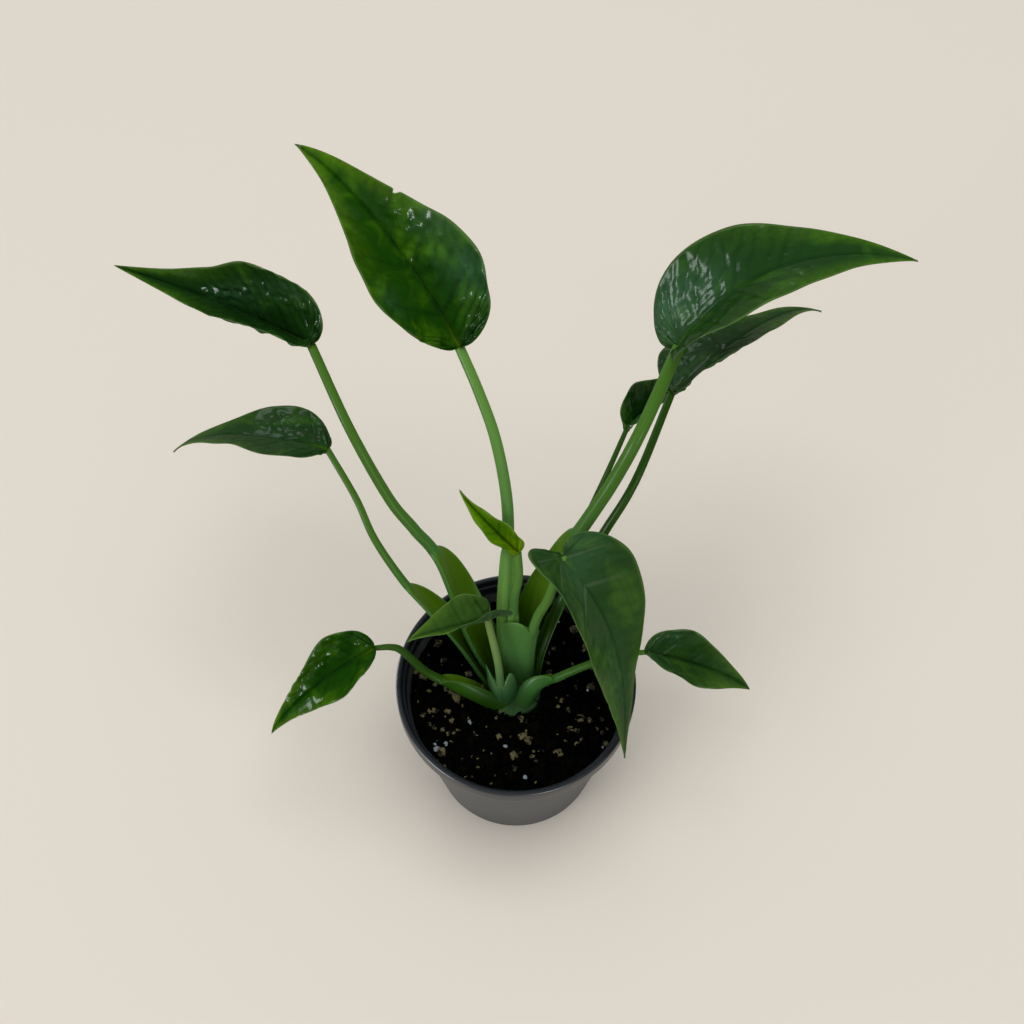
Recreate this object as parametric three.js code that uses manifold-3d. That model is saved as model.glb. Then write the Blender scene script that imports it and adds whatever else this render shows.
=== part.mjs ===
// Potted alocasia of the small "tiny dancer" kind: eleven cupped, pointed leaves on long
// petioles that spring from one rhizome, growing in peaty soil in a black nursery pot.
// Millimetres, +Z up. The origin is the middle of the pot's underside.
import * as THREE from "three";
import { mergeVertices } from "three/addons/utils/BufferGeometryUtils.js";
import Module from "manifold-3d";

const wasm = await Module();
wasm.setup();

// Clearances: between pieces that touch, between a petiole's end and the sinus that it runs into,
// and between its flanks and the blade around them
const SEAT_GAP = 0.3;
const SINUS_GAP = 1.2;
const FLANK_GAP = 0.7;
// Points of a cut surface that lie closer than this are merged.
const CUT_WELD = 0.02;

// Pot
const POT_HEIGHT = 86;
const BASE_RADIUS = 39;
const RIM_RADIUS = 54;
const RIM_BAND = 8.5;
const RIM_OVERHANG = 3;
const WALL = 1.5;
const BASE_ROUNDING = 1.2;
// The rim's section from outside to inside, as [inset from RIM_RADIUS, drop from POT_HEIGHT]: the
// band, the rounded lip and the two ledges that step down to the wall.
const RIM_SECTION = [
  [1.2, RIM_BAND], [0.4, 7.7], [0, 1], [0.8, 0], [2, 0], [2.6, 0.8], [2.8, 3.2], [4, 3.8], [4.4, 8],
  [5.1, 9.7],
];
const POT_SIDES = 42;
const DRAIN_HOLES = 6;
const DRAIN_RADIUS = 3.5;
const DRAIN_CIRCLE = 28;
const DRAIN_SIDES = 12;

// Soil
const SOIL_LEVEL = 71;
const GROUND_RINGS = [0.94, 0.82, 0.68, 0.53, 0.38];
const LEVEL_COLLAR = 3;
const LUMP_HEIGHT = 0.9;
const LUMP_WIDTH = 4.1;
const LUMP_DEPTH = 5.3;
const LUMP_SKEW = 9;

// Rhizome, whose top stands just proud of the soil
const CROWN = new THREE.Vector2(-1, 2);
const CROWN_RADIUS = 13;
const RHIZOME_SECTION = [
  [0, 46], [5, 47], [9, 53], [12, 60], [CROWN_RADIUS, 66], [CROWN_RADIUS, 70.2], [10, 71.6], [0, 73],
];
const RHIZOME_MIDDLE = 60;
const RHIZOME_SIDES = 20;

// Leaves
const BLADE_THICKNESS = 0.8;
const KEEL_DEPTH = 1.1;
const KEEL_SPREAD = 0.025;
const QUILT_HEIGHT = 0.9;
const RIB_SLANT = 0.5;
const RIB_STEPS = [0, 0.22, 0.48, 0.76, 1];
const MARGIN_WAVE = 0.6;
const MARGIN_WAVES = 3.5;
const PETIOLE_STATIONS = 12;
const PETIOLE_SIDES = 12;
const SINUS_TAPER = 0.55;
const SHEATH_THINNING = 0.4;
const WING_THINNING = 0.6;
const DOME_GAIN = 4;

// Half of a blade's flat outline, from the sinus where the petiole joins to the tip, in shares
// of the blade's length: once with a plain round base and once with two lobes behind the sinus.
const OUTLINE_ROUND = [
  [0, 0], [0.05, -0.012], [0.12, 0.005], [0.195, 0.048], [0.26, 0.11], [0.308, 0.19], [0.326, 0.29],
  [0.306, 0.4], [0.26, 0.5], [0.2, 0.6], [0.142, 0.7], [0.078, 0.825], [0, 1],
];
const OUTLINE_LOBED = [
  [0, 0], [0.045, -0.055], [0.12, -0.095], [0.215, -0.07], [0.29, 0.03], [0.325, 0.16], [0.328, 0.29],
  ...OUTLINE_ROUND.slice(7),
];
// How far a full drip tip draws in each of those points.
const DRIP_TIP = [1, 1, 1, 1, 1, 0.99, 0.93, 0.83, 0.74, 0.68, 0.65, 0.67, 1];

// The leaves, from the innermost outwards. Angles are in degrees. azimuth, pitch and roll aim the
// midrib; bend and hook arch it along its length; fold and cup raise the two halves, at the base
// and at the tip. A pair in width or lobe is the left half, then the right half. A petiole's route
// runs from the rhizome to the sinus, and its sheath's outer side faces towards facing. upward is how
// much the sheath's hollow looks up, and skew how much more one wing wraps round than the other.
// ears are how far the right and the left wing stand up at the sheath's top, pointed or domed.
const LEAVES = [
  {
    name: "young", green: "young", veins: 5,
    blade: {
      length: 37.5, azimuth: 139, pitch: 17, roll: 8, bend: 18, hook: 30,
      fold: [42, 39], cup: [2.8, 2.4], twist: 33, sweep: 0, lean: 0, width: [0.9, 0.95],
      lobe: [0.1, 0.2], lobeCurl: 80, drip: 1,
    },
    petiole: {
      route: [[-1, 5, 66], [-1, 20, 120], [1, 25.5, 136], [0.5, 30.5, 149]],
      radius: [2.2, 1.8], halfWidth: 3.2, share: 0.3, wrap: 60, facing: 80,
      upward: 1, skew: 0, ears: [0, 0], domed: [0, 0],
    },
  },
  {
    name: "back", green: "bright", veins: 8,
    blade: {
      length: 111, azimuth: 124.5, pitch: 34, roll: 12, bend: -14, hook: -36,
      fold: [34.5, 27], cup: [2.4, 1.2], twist: -3, sweep: -0.16, lean: 0, width: [1.06, 1.05],
      lobe: [-0.45, -0.1], lobeCurl: 70, drip: 1.1,
    },
    petiole: {
      route: [
        [-4, 9, 66], [-4.5, 22, 110], [-3.5, 36, 137], [-4, 49.5, 161], [-8.5, 63.5, 185],
        [-15.5, 77, 201], [-23, 90, 213],
      ],
      radius: [2.9, 2.1], halfWidth: 5, share: 0.35, wrap: 50, facing: 95,
      upward: 1, skew: 0, ears: [0, 0], domed: [0, 0],
    },
  },
  {
    name: "upper_right", green: "deep", veins: 8,
    blade: {
      length: 102, azimuth: 40.5, pitch: 58, roll: 44.5, bend: -78, hook: 4.5,
      fold: [14, 4.5], cup: [1, -0.4], twist: -14, sweep: 0.14, lean: 0, width: [1, 0.99],
      lobe: [0.75, 0.2], lobeCurl: 50, drip: 0.27,
    },
    petiole: {
      route: [
        [5, 8, 66], [8, 26.5, 108], [20, 35.5, 138], [30, 40.5, 160], [40, 47, 181], [50, 57, 203],
        [64.5, 83.5, 222],
      ],
      radius: [3.4, 2.6], halfWidth: 7.5, share: 0.43, wrap: 65, facing: 50,
      upward: 1, skew: 0, ears: [0, 0], domed: [0, 0],
    },
  },
  {
    name: "front_large", green: "deep", veins: 8,
    blade: {
      length: 105, azimuth: -37, pitch: -32, roll: 22.5, bend: -65, hook: 27,
      fold: [3.5, 0.5], cup: [2.5, -0.9], twist: -1, sweep: 0.09, lean: -2, width: [0.85, 0.88],
      lobe: [0.25, 1.3], lobeCurl: -55, drip: 0.2,
    },
    petiole: {
      route: [[5.5, 3, 66], [6, 11, 98], [9, 14, 120], [14, 14.5, 140], [18.5, 18, 168]],
      radius: [2.3, 1.9], halfWidth: 10.5, share: 0.38, wrap: 55, facing: -78,
      upward: 0.3, skew: 0.95, ears: [0, 7], domed: [0, 1],
    },
  },
  {
    name: "upper_left", green: "bright", veins: 8,
    blade: {
      length: 99, azimuth: 142.5, pitch: -8, roll: 10.5, bend: 11, hook: 5,
      fold: [50.5, 41], cup: [2.1, 2.7], twist: 28, sweep: -0.15, lean: 0, width: [0.81, 1.09],
      lobe: [0.2, 0.75], lobeCurl: 75, drip: 1,
    },
    petiole: {
      route: [
        [-9, 7, 66], [-20.5, 15.5, 97], [-33, 35.5, 132], [-43.5, 42, 149], [-53.5, 48.5, 164],
        [-68, 64, 193], [-83, 91, 213],
      ],
      radius: [3, 1.9], halfWidth: 11.5, share: 0.37, wrap: 62, facing: 205,
      upward: 1, skew: 0.5, ears: [0, 0], domed: [0, 0],
    },
  },
  {
    name: "lower_left", green: "deep", veins: 7,
    blade: {
      length: 77, azimuth: 164.5, pitch: 7, roll: -30.5, bend: -36.5, hook: -23,
      fold: [1.5, -4], cup: [0.4, 2.9], twist: -3, sweep: 0.11, lean: 0, width: [0.94, 1.01],
      lobe: [-0.35, -0.1], lobeCurl: 90, drip: 0.35,
    },
    petiole: {
      route: [
        [-10, 2, 66], [-26, 13.5, 97], [-39, 22, 114], [-49.5, 28.5, 129], [-60.5, 39, 146],
        [-68, 52, 158], [-79.5, 67.5, 172],
      ],
      radius: [2.2, 1.35], halfWidth: 8.5, share: 0.46, wrap: 62, facing: 215,
      upward: 1, skew: 0.4, ears: [0, 0], domed: [0, 0],
    },
  },
  {
    name: "middle_right", green: "deep", veins: 8,
    blade: {
      length: 91, azimuth: 44, pitch: 5.5, roll: 49.5, bend: -18, hook: -29,
      fold: [4.5, 3], cup: [1.6, 0.05], twist: -19.5, sweep: -0.12, lean: 0, width: [0.99, 0.98],
      lobe: [-0.25, 0.2], lobeCurl: 65, drip: 0.7,
    },
    petiole: {
      route: [[9, 4, 66], [12, 13, 92], [23.5, 30, 121], [38, 41.5, 149], [50, 53, 172], [64, 80, 196]],
      radius: [2.6, 1.6], halfWidth: 4.2, share: 0.35, wrap: 60, facing: 30,
      upward: 1, skew: 0, ears: [0, 0], domed: [0, 0],
    },
  },
  {
    name: "small_rear", green: "deep", veins: 6,
    blade: {
      length: 72, azimuth: 65, pitch: -34, roll: 1, bend: 24.5, hook: -17,
      fold: [45.5, 26.5], cup: [3.1, 2.7], twist: -21.5, sweep: 0.17, lean: 0, width: [0.61, 0.78],
      lobe: [0.3, 0.25], lobeCurl: 75, drip: 0.55,
    },
    petiole: {
      route: [[6, 12, 66], [15, 36, 108], [26, 49, 127], [37.5, 61.5, 157], [46.6, 75.5, 175.5]],
      radius: [1.8, 1.05], halfWidth: 3, share: 0.3, wrap: 50, facing: 60,
      upward: 1, skew: 0, ears: [0, 0], domed: [0, 0],
    },
  },
  {
    name: "cupped_centre", green: "bright", veins: 5,
    blade: {
      length: 42, azimuth: 204, pitch: 9.5, roll: -4.5, bend: 44, hook: -37.5,
      fold: [34, 21.5], cup: [3.1, 1.6], twist: -15, sweep: -0.13, lean: 0, width: [1.09, 0.99],
      lobe: [1.9, 0.6], lobeCurl: -28, drip: 0.2,
    },
    petiole: {
      route: [[-6, -6, 66], [-7, -2, 86], [-8, 2.5, 99], [-11.5, 11.5, 116], [-12.5, 14, 121]],
      radius: [1.9, 1.6], halfWidth: 9, share: 0.24, wrap: 70, facing: -95,
      upward: 0.3, skew: 0, ears: [9, 20], domed: [1, 0],
    },
  },
  {
    name: "front_left", green: "bright", veins: 6,
    blade: {
      length: 62, azimuth: 205, pitch: -13, roll: 8, bend: -11.5, hook: -31.5,
      fold: [28.5, 31.5], cup: [2.4, 1.2], twist: 24, sweep: -0.14, lean: 0, width: [1.14, 0.95],
      lobe: [-0.4, 0], lobeCurl: 70, drip: 1,
    },
    petiole: {
      route: [
        [-8, -6, 66], [-21, -3.5, 76.5], [-33, 0.5, 84], [-41, 2.5, 91], [-50, 5.5, 105],
        [-55, 6, 108], [-62, 6.5, 106],
      ],
      radius: [2.7, 1.2], halfWidth: 10, share: 0.35, wrap: 105, facing: 248,
      upward: 0.7, skew: 0, ears: [0, 0], domed: [0, 0],
    },
  },
  {
    name: "front_right", green: "deep", veins: 6,
    blade: {
      length: 58, azimuth: 2.5, pitch: -25.5, roll: -14, bend: 3.5, hook: -26.5,
      fold: [41.5, 27], cup: [1.4, 1.5], twist: -22, sweep: 0.14, lean: 0, width: [0.94, 1.03],
      lobe: [0.2, -0.55], lobeCurl: 80, drip: 0.4,
    },
    petiole: {
      route: [[4, -7, 66], [10, -1, 79], [20, 1.5, 87], [33, 3, 97], [44, 4, 104], [56.5, 4.5, 106]],
      radius: [2.5, 1.15], halfWidth: 8.4, share: 0.36, wrap: 105, facing: -75,
      upward: 0.45, skew: 0, ears: [0, 2], domed: [0, 0],
    },
  },
];

// Finishes
const FINISH = {
  pot: { color: 0x24282e, roughness: 0.45 },
  soil: { color: 0x14110d, roughness: 1 },
  rhizome: { color: 0x5f6b35, roughness: 0.8 },
  petiole: { color: 0x3f7a35, roughness: 0.4 },
  bright: { color: 0x265c14, roughness: 0.28 },
  deep: { color: 0x1b4a22, roughness: 0.32 },
  young: { color: 0x5b8a10, roughness: 0.35 },
};

const radians = THREE.MathUtils.degToRad;
const mix = THREE.MathUtils.lerp;
const clamp = THREE.MathUtils.clamp;

// A closed geometry with its shared points merged and its empty triangles left out.
function weld(geometry, reach = 1e-4) {
  geometry.deleteAttribute("normal");
  geometry.deleteAttribute("uv");
  const merged = mergeVertices(geometry, reach);
  const corners = merged.index.array;
  const kept = [];
  for (let i = 0; i < corners.length; i += 3) {
    const [a, b, c] = corners.slice(i, i + 3);
    if (a !== b && b !== c && c !== a) kept.push(a, b, c);
  }
  merged.setIndex(kept);
  return merged;
}

// A solid for joining and cutting, made from a closed geometry.
function solidOf(geometry) {
  const welded = weld(geometry);
  const vertProperties = welded.attributes.position.array;
  const triVerts = new Uint32Array(welded.index.array);
  return new wasm.Manifold(new wasm.Mesh({ numProp: 3, vertProperties, triVerts }));
}

// The largest body of a solid, as a geometry without the slivers that cuts leave.
function geometryOf(solid) {
  const bodies = solid.decompose().sort((a, b) => b.volume() - a.volume());
  const mesh = bodies[0].getMesh();
  const geometry = new THREE.BufferGeometry();
  geometry.setAttribute("position", new THREE.BufferAttribute(mesh.vertProperties, 3));
  geometry.setIndex(new THREE.BufferAttribute(mesh.triVerts, 1));
  return weld(geometry, CUT_WELD);
}

// A closed geometry from its points and the corner numbers of its triangles.
function geometryFrom(points, corners) {
  const geometry = new THREE.BufferGeometry().setFromPoints(points);
  return weld(geometry.setIndex(corners));
}

// A body turned about the Z axis from [radius, height] points that start and end on the axis.
function turned(profile, sides) {
  const points = profile.map(([radius, height]) => new THREE.Vector2(radius, height));
  return new THREE.LatheGeometry(points, sides).rotateX(Math.PI / 2);
}

// A smooth curve through a list of points, with its parameter spread evenly over them.
function smoothCurve(points) {
  const places = points.map(([x, y, z = 0]) => new THREE.Vector3(x, y, z));
  return new THREE.CatmullRomCurve3(places, false, "catmullrom", 0.5);
}

// The pot's wall is a thin cone that leans out to its shoulder, under the overhanging rim.
function wallRadius(height) {
  return mix(BASE_RADIUS, RIM_RADIUS - RIM_OVERHANG, height / (POT_HEIGHT - RIM_BAND));
}

function innerRadius(height) {
  return wallRadius(height) - WALL;
}

function potForm() {
  const shoulder = POT_HEIGHT - RIM_BAND;
  const rim = RIM_SECTION.map(([inset, drop]) => [RIM_RADIUS - inset, POT_HEIGHT - drop]);
  const outside = [
    [0, 0],
    [BASE_RADIUS - BASE_ROUNDING, 0],
    [BASE_RADIUS, BASE_ROUNDING],
    [wallRadius(shoulder), shoulder],
  ];
  const inside = [[innerRadius(SOIL_LEVEL), SOIL_LEVEL], [innerRadius(WALL), WALL], [0, WALL]];
  return turned([...outside, ...rim, ...inside], POT_SIDES);
}

// The pot with its ring of drainage holes, which leave the middle of the floor whole.
function drainedPot() {
  let pot = solidOf(potForm());
  for (let i = 0; i < DRAIN_HOLES; i += 1) {
    const angle = (i * 2 * Math.PI) / DRAIN_HOLES;
    const hole = new THREE.CylinderGeometry(DRAIN_RADIUS, DRAIN_RADIUS, 4 * WALL, DRAIN_SIDES);
    hole.rotateX(Math.PI / 2);
    hole.translate(DRAIN_CIRCLE * Math.cos(angle), DRAIN_CIRCLE * Math.sin(angle), 0);
    pot = pot.subtract(solidOf(hole));
  }
  return geometryOf(pot);
}

// The rhizome is a short upright stock, wider at the crown. Grown by a gap, it is also the shape
// of the hole that it stands in.
function rhizomeForm(growth) {
  const profile = RHIZOME_SECTION.map(([radius, height]) => [
    radius && radius + growth,
    height + growth * Math.sign(height - RHIZOME_MIDDLE),
  ]);
  return turned(profile, RHIZOME_SIDES).translate(CROWN.x, CROWN.y, 0);
}

// How far the soil's surface rises above SOIL_LEVEL, in low lumps.
function lumpAt(x, y) {
  return LUMP_HEIGHT * Math.sin(x / LUMP_WIDTH + 1) * Math.sin(y / LUMP_DEPTH + x / LUMP_SKEW);
}

// The ground is the pot's filling up to SOIL_LEVEL, with a level collar round the rhizome. Raised
// by a gap, it is the shape that the petioles keep clear of.
function groundForm(rise) {
  const floor = WALL + SEAT_GAP;
  const edge = innerRadius(SOIL_LEVEL) - SEAT_GAP;
  const rings = GROUND_RINGS.map((share) => [edge * share, SOIL_LEVEL]);
  const wall = [[innerRadius(floor) - SEAT_GAP, floor], [edge, SOIL_LEVEL - SEAT_GAP]];
  const form = turned([[0, floor], ...wall, ...rings, [0, SOIL_LEVEL]], POT_SIDES);
  const place = form.attributes.position;
  for (let i = 0; i < place.count; i += 1) {
    const [x, y, z] = [place.getX(i), place.getY(i), place.getZ(i)];
    const collar = CROWN_RADIUS + LEVEL_COLLAR;
    if (z === SOIL_LEVEL && Math.hypot(x, y) > collar) place.setZ(i, z + lumpAt(x, y));
  }
  return form.translate(0, 0, rise);
}

// The soil is the ground with a plain hole for the rhizome.
function soilBody() {
  return geometryOf(solidOf(groundForm(0)).subtract(solidOf(rhizomeForm(SEAT_GAP))));
}

// A blade's midrib as a table: for a share y of the length, how far it has run forwards and
// upwards and how steeply it climbs. The slope is bend*y + hook*y^4, and behind the sinus lobeCurl*y.
function midribOf(blade) {
  const first = -0.4;
  const step = 0.01;
  const slope = (y) =>
    y < 0 ? radians(blade.lobeCurl) * y : radians(blade.bend) * y + radians(blade.hook) * y ** 4;
  const count = Math.round((1.05 - first) / step);
  const sinus = Math.round(-first / step);
  const run = new Float64Array(count + 1);
  const climb = new Float64Array(count + 1);
  for (let i = 1; i <= count; i += 1) {
    const middle = slope(first + (i - 0.5) * step);
    run[i] = run[i - 1] + Math.cos(middle) * step;
    climb[i] = climb[i - 1] + Math.sin(middle) * step;
  }
  const read = (table, y) => {
    const place = clamp((y - first) / step, 0, count - 1e-6);
    const below = Math.floor(place);
    return mix(table[below], table[below + 1], place - below) - table[sinus];
  };
  return (y) => ({ forward: read(run, y), up: read(climb, y), slope: slope(y) });
}

// The directions that a blade is built along: its midrib at the sinus, its right side, its face.
function bladeAxes({ azimuth, pitch, roll }) {
  const heading = radians(azimuth);
  const climb = radians(pitch);
  const flat = Math.cos(climb);
  const forward = new THREE.Vector3(Math.cos(heading) * flat, Math.sin(heading) * flat, Math.sin(climb));
  const right = new THREE.Vector3(Math.sin(heading), -Math.cos(heading), 0);
  right.applyAxisAngle(forward, -radians(roll));
  const face = new THREE.Vector3().crossVectors(right, forward);
  return { forward, right, face };
}

// The middle of a blade as a surface: x is the signed distance from the midrib and y the distance
// along it, both in shares of the length. Across, each half is an arc that leaves the midrib at the
// fold angle and turns by cup; the whole section twists along the blade and is swept to one side.
function bladeSurface(leaf) {
  const { blade, petiole } = leaf;
  const midrib = midribOf(blade);
  const { forward, right, face } = bladeAxes(blade);
  const sinus = new THREE.Vector3(...petiole.route.at(-1));
  return (x, y) => {
    const side = x < 0 ? -1 : 1;
    const share = clamp(y, 0, 1);
    const fold = radians(mix(...blade.fold, share) + blade.lean * side);
    const cup = mix(...blade.cup, share) + 1e-6;
    const turn = fold + cup * Math.abs(x);
    const across = (side * (Math.sin(turn) - Math.sin(fold))) / cup;
    const raised = (Math.cos(fold) - Math.cos(turn)) / cup;
    const twist = radians(blade.twist) * share;
    const sideways = across * Math.cos(twist) - raised * Math.sin(twist) + blade.sweep * share ** 2;
    const height = across * Math.sin(twist) + raised * Math.cos(twist);
    const rib = midrib(y);
    return sinus
      .clone()
      .addScaledVector(forward, blade.length * (rib.forward - height * Math.sin(rib.slope)))
      .addScaledVector(right, blade.length * sideways)
      .addScaledVector(face, blade.length * (rib.up + height * Math.cos(rib.slope)));
  };
}

// Half of a blade's outline as a curve, for the left (0) or the right (1) half.
function outlineOf(blade, half) {
  const points = OUTLINE_ROUND.map(([x, y], i) => {
    const [lobedX, lobedY] = OUTLINE_LOBED[i];
    const lobe = blade.lobe[half];
    const drawnIn = 1 + blade.drip * (DRIP_TIP[i] - 1);
    return [mix(x, lobedX, lobe) * blade.width[half] * drawnIn, mix(y, lobedY, lobe)];
  });
  return smoothCurve(points);
}

// A blade as a closed solid. Rows follow the side veins from the midrib out to the margin; between
// two veins the blade is quilted upwards, the margin waves gently, and a keel runs under the midrib.
function bladeForm(leaf, thickness) {
  const { blade, veins } = leaf;
  const surface = bladeSurface(leaf);
  const stations = 2 * veins;
  const steps = RIB_STEPS.length - 1;
  const outlines = [outlineOf(blade, 0), outlineOf(blade, 1)];
  const normalAt = (x, y) => {
    const reach = 0.01;
    const across = surface(x + reach, y).sub(surface(x - reach, y));
    const along = surface(x, y + reach).sub(surface(x, y - reach));
    return across.cross(along).normalize();
  };
  const points = [];
  const columns = 2 * steps + 1;
  for (let i = 0; i <= stations; i += 1) {
    const ends = outlines.map((outline) => outline.getPoint(i / stations));
    const swell = Math.sin((Math.PI * i) / stations);
    for (let j = -steps; j <= steps; j += 1) {
      const edge = ends[j < 0 ? 0 : 1];
      const share = RIB_STEPS[Math.abs(j)];
      const root = i === stations ? 1 : Math.max(0, edge.y - RIB_SLANT * edge.x);
      const x = Math.sign(j) * edge.x * share;
      const y = mix(root, edge.y, share);
      const quilt = i % 2 ? QUILT_HEIGHT * 4 * share * (1 - share) * (1 - i / stations) : 0;
      const wave = MARGIN_WAVE * share ** 2 * swell * Math.sin(MARGIN_WAVES * 2 * Math.PI * (i / stations));
      const keel = KEEL_DEPTH * (1 - 0.85 * clamp(y, 0, 1)) * Math.max(0, 1 - Math.abs(x) / KEEL_SPREAD);
      const normal = normalAt(x, y);
      const middle = surface(x, y).addScaledVector(normal, quilt + wave);
      points.push(middle.clone().addScaledVector(normal, thickness / 2));
      points.push(middle.addScaledVector(normal, -thickness / 2 - keel));
    }
  }
  const top = (i, j) => 2 * (i * columns + j);
  const under = (i, j) => top(i, j) + 1;
  const corners = [];
  const quad = (a, b, c, d) => corners.push(a, b, c, a, c, d);
  for (let i = 0; i < stations; i += 1) {
    for (let j = 0; j < columns - 1; j += 1) {
      quad(top(i, j), top(i, j + 1), top(i + 1, j + 1), top(i + 1, j));
      corners.push(under(i, j), under(i + 1, j + 1), under(i, j + 1));
      corners.push(under(i, j), under(i + 1, j), under(i + 1, j + 1));
    }
    const last = columns - 1;
    quad(under(i, last), under(i + 1, last), top(i + 1, last), top(i, last));
    quad(under(i, 0), top(i, 0), top(i + 1, 0), under(i + 1, 0));
  }
  return geometryFrom(points, corners);
}

// A petiole as a closed solid: round above, and below opening into a sheath whose section is a
// crescent that wraps towards the middle of the plant. growth makes it thicker all round.
function petioleForm({ petiole }, growth) {
  const { route, radius, halfWidth, share, wrap, facing, upward, skew, ears, domed } = petiole;
  const curve = smoothCurve(route);
  const out = radians(facing);
  const inward = new THREE.Vector3(-Math.cos(out), -Math.sin(out), upward);
  const points = [];
  for (let i = 0; i <= PETIOLE_STATIONS; i += 1) {
    const t = i / PETIOLE_STATIONS;
    const atSinus = i === PETIOLE_STATIONS;
    const along = curve.getTangent(t);
    const centre = curve.getPoint(t).addScaledVector(along, atSinus ? -SINUS_GAP : 0);
    const inner = inward.clone().addScaledVector(along, -inward.dot(along)).normalize();
    const side = new THREE.Vector3().crossVectors(along, inner);
    const sheath = Math.sqrt(1 - Math.min(1, t / share) ** 3);
    const half = mix(...radius, t) * (atSinus ? SINUS_TAPER : 1);
    const reach = half + (halfWidth - radius[0]) * sheath;
    const core = half * (1 - SHEATH_THINNING * sheath);
    const bow = reach / (radians(wrap) * sheath + 1e-3);
    const turn = (reach + growth) / bow;
    for (let j = 0; j < PETIOLE_SIDES; j += 1) {
      const angle = (2 * Math.PI * j) / PETIOLE_SIDES;
      const across = Math.sin(angle);
      const depth = core * (1 - WING_THINNING * sheath * across ** 2) + growth;
      const offset = depth * Math.cos(angle);
      const swing = (across + skew * sheath * across ** 2) * turn;
      const wing = across < 0 ? 0 : 1;
      const dome = domed[wing];
      const crest = sheath * (1 - dome * sheath) * mix(1, DOME_GAIN, dome);
      const lift = ears[wing] * across ** 2 * crest;
      const point = centre.clone();
      point.addScaledVector(side, (bow + offset) * Math.sin(swing));
      point.addScaledVector(inner, bow - (bow + offset) * Math.cos(swing));
      point.addScaledVector(along, lift);
      points.push(point);
    }
  }
  const at = (i, j) => i * PETIOLE_SIDES + ((j + PETIOLE_SIDES) % PETIOLE_SIDES);
  const corners = [];
  for (let i = 0; i < PETIOLE_STATIONS; i += 1) {
    for (let j = 0; j < PETIOLE_SIDES; j += 1) {
      corners.push(at(i, j), at(i + 1, j), at(i + 1, j + 1), at(i, j), at(i + 1, j + 1), at(i, j + 1));
    }
  }
  const quarter = PETIOLE_SIDES / 4;
  const opposite = PETIOLE_SIDES / 2;
  for (let j = -quarter; j < quarter; j += 1) {
    const cap = (i) => [at(i, j), at(i, j + 1), at(i, opposite - j - 1), at(i, opposite - j)];
    const [a, b, c, d] = cap(0);
    corners.push(a, b, c, a, c, d);
    const [e, f, g, h] = cap(PETIOLE_STATIONS);
    corners.push(e, g, f, e, h, g);
  }
  return geometryFrom(points, corners);
}

// A petiole as it stands: cut free of the rhizome, the ground, its own blade and every petiole that
// it wraps around.
function seatedPetiole(leaf, innerLeaves) {
  const cutters = [
    rhizomeForm(SEAT_GAP),
    groundForm(SEAT_GAP),
    bladeForm(leaf, BLADE_THICKNESS + 2 * FLANK_GAP),
    ...innerLeaves.map((inner) => petioleForm(inner, SEAT_GAP)),
  ];
  const seated = cutters.reduce(
    (solid, cutter) => solid.subtract(solidOf(cutter)),
    solidOf(petioleForm(leaf, 0)),
  );
  return geometryOf(seated);
}

function piece(name, geometry, finish) {
  const material = new THREE.MeshStandardMaterial({ ...FINISH[finish], metalness: 0 });
  const mesh = new THREE.Mesh(geometry, material);
  mesh.name = name;
  return mesh;
}

function leafPieces(leaf, index) {
  const group = new THREE.Group();
  group.add(piece(`petiole_${leaf.name}`, seatedPetiole(leaf, LEAVES.slice(0, index)), "petiole"));
  group.add(piece(`blade_${leaf.name}`, bladeForm(leaf, BLADE_THICKNESS), leaf.green));
  return group;
}

const plant = new THREE.Group();
plant.add(piece("pot", drainedPot(), "pot"));
plant.add(piece("soil", soilBody(), "soil"));
plant.add(piece("rhizome", geometryOf(solidOf(rhizomeForm(0))), "rhizome"));
plant.add(...LEAVES.map(leafPieces));

export default plant;
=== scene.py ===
"""The look of a potted alocasia: eleven leaves on long stalks, a rhizome, soil and a nursery pot.

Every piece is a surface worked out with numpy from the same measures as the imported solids. Its
lengths are in millimetres until its mesh is made, which puts them in metres. The finishes and the
studio are in metres. Angles are in degrees.
"""

from __future__ import annotations

import logging
import math
from collections.abc import Sequence
from dataclasses import dataclass, field
from enum import Enum

import bmesh
import bpy
import numpy as np
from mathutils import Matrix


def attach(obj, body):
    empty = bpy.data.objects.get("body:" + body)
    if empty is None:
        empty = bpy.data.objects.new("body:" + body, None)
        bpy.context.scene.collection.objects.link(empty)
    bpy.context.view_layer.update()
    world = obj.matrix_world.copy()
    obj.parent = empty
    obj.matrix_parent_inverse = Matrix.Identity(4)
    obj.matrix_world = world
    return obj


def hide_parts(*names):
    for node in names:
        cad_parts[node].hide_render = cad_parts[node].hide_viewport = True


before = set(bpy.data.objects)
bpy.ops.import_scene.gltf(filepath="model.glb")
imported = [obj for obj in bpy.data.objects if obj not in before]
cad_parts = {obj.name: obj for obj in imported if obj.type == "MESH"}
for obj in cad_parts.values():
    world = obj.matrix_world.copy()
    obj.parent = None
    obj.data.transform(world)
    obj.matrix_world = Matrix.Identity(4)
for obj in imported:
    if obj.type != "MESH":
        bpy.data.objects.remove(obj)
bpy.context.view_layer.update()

LOG = logging.getLogger("alocasia")
MM = 0.001
MERGE_DISTANCE = 1e-6  # metres

Array = np.ndarray
Colour = tuple[float, float, float]
Pair = tuple[float, float]
Point = tuple[float, float, float]


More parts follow.
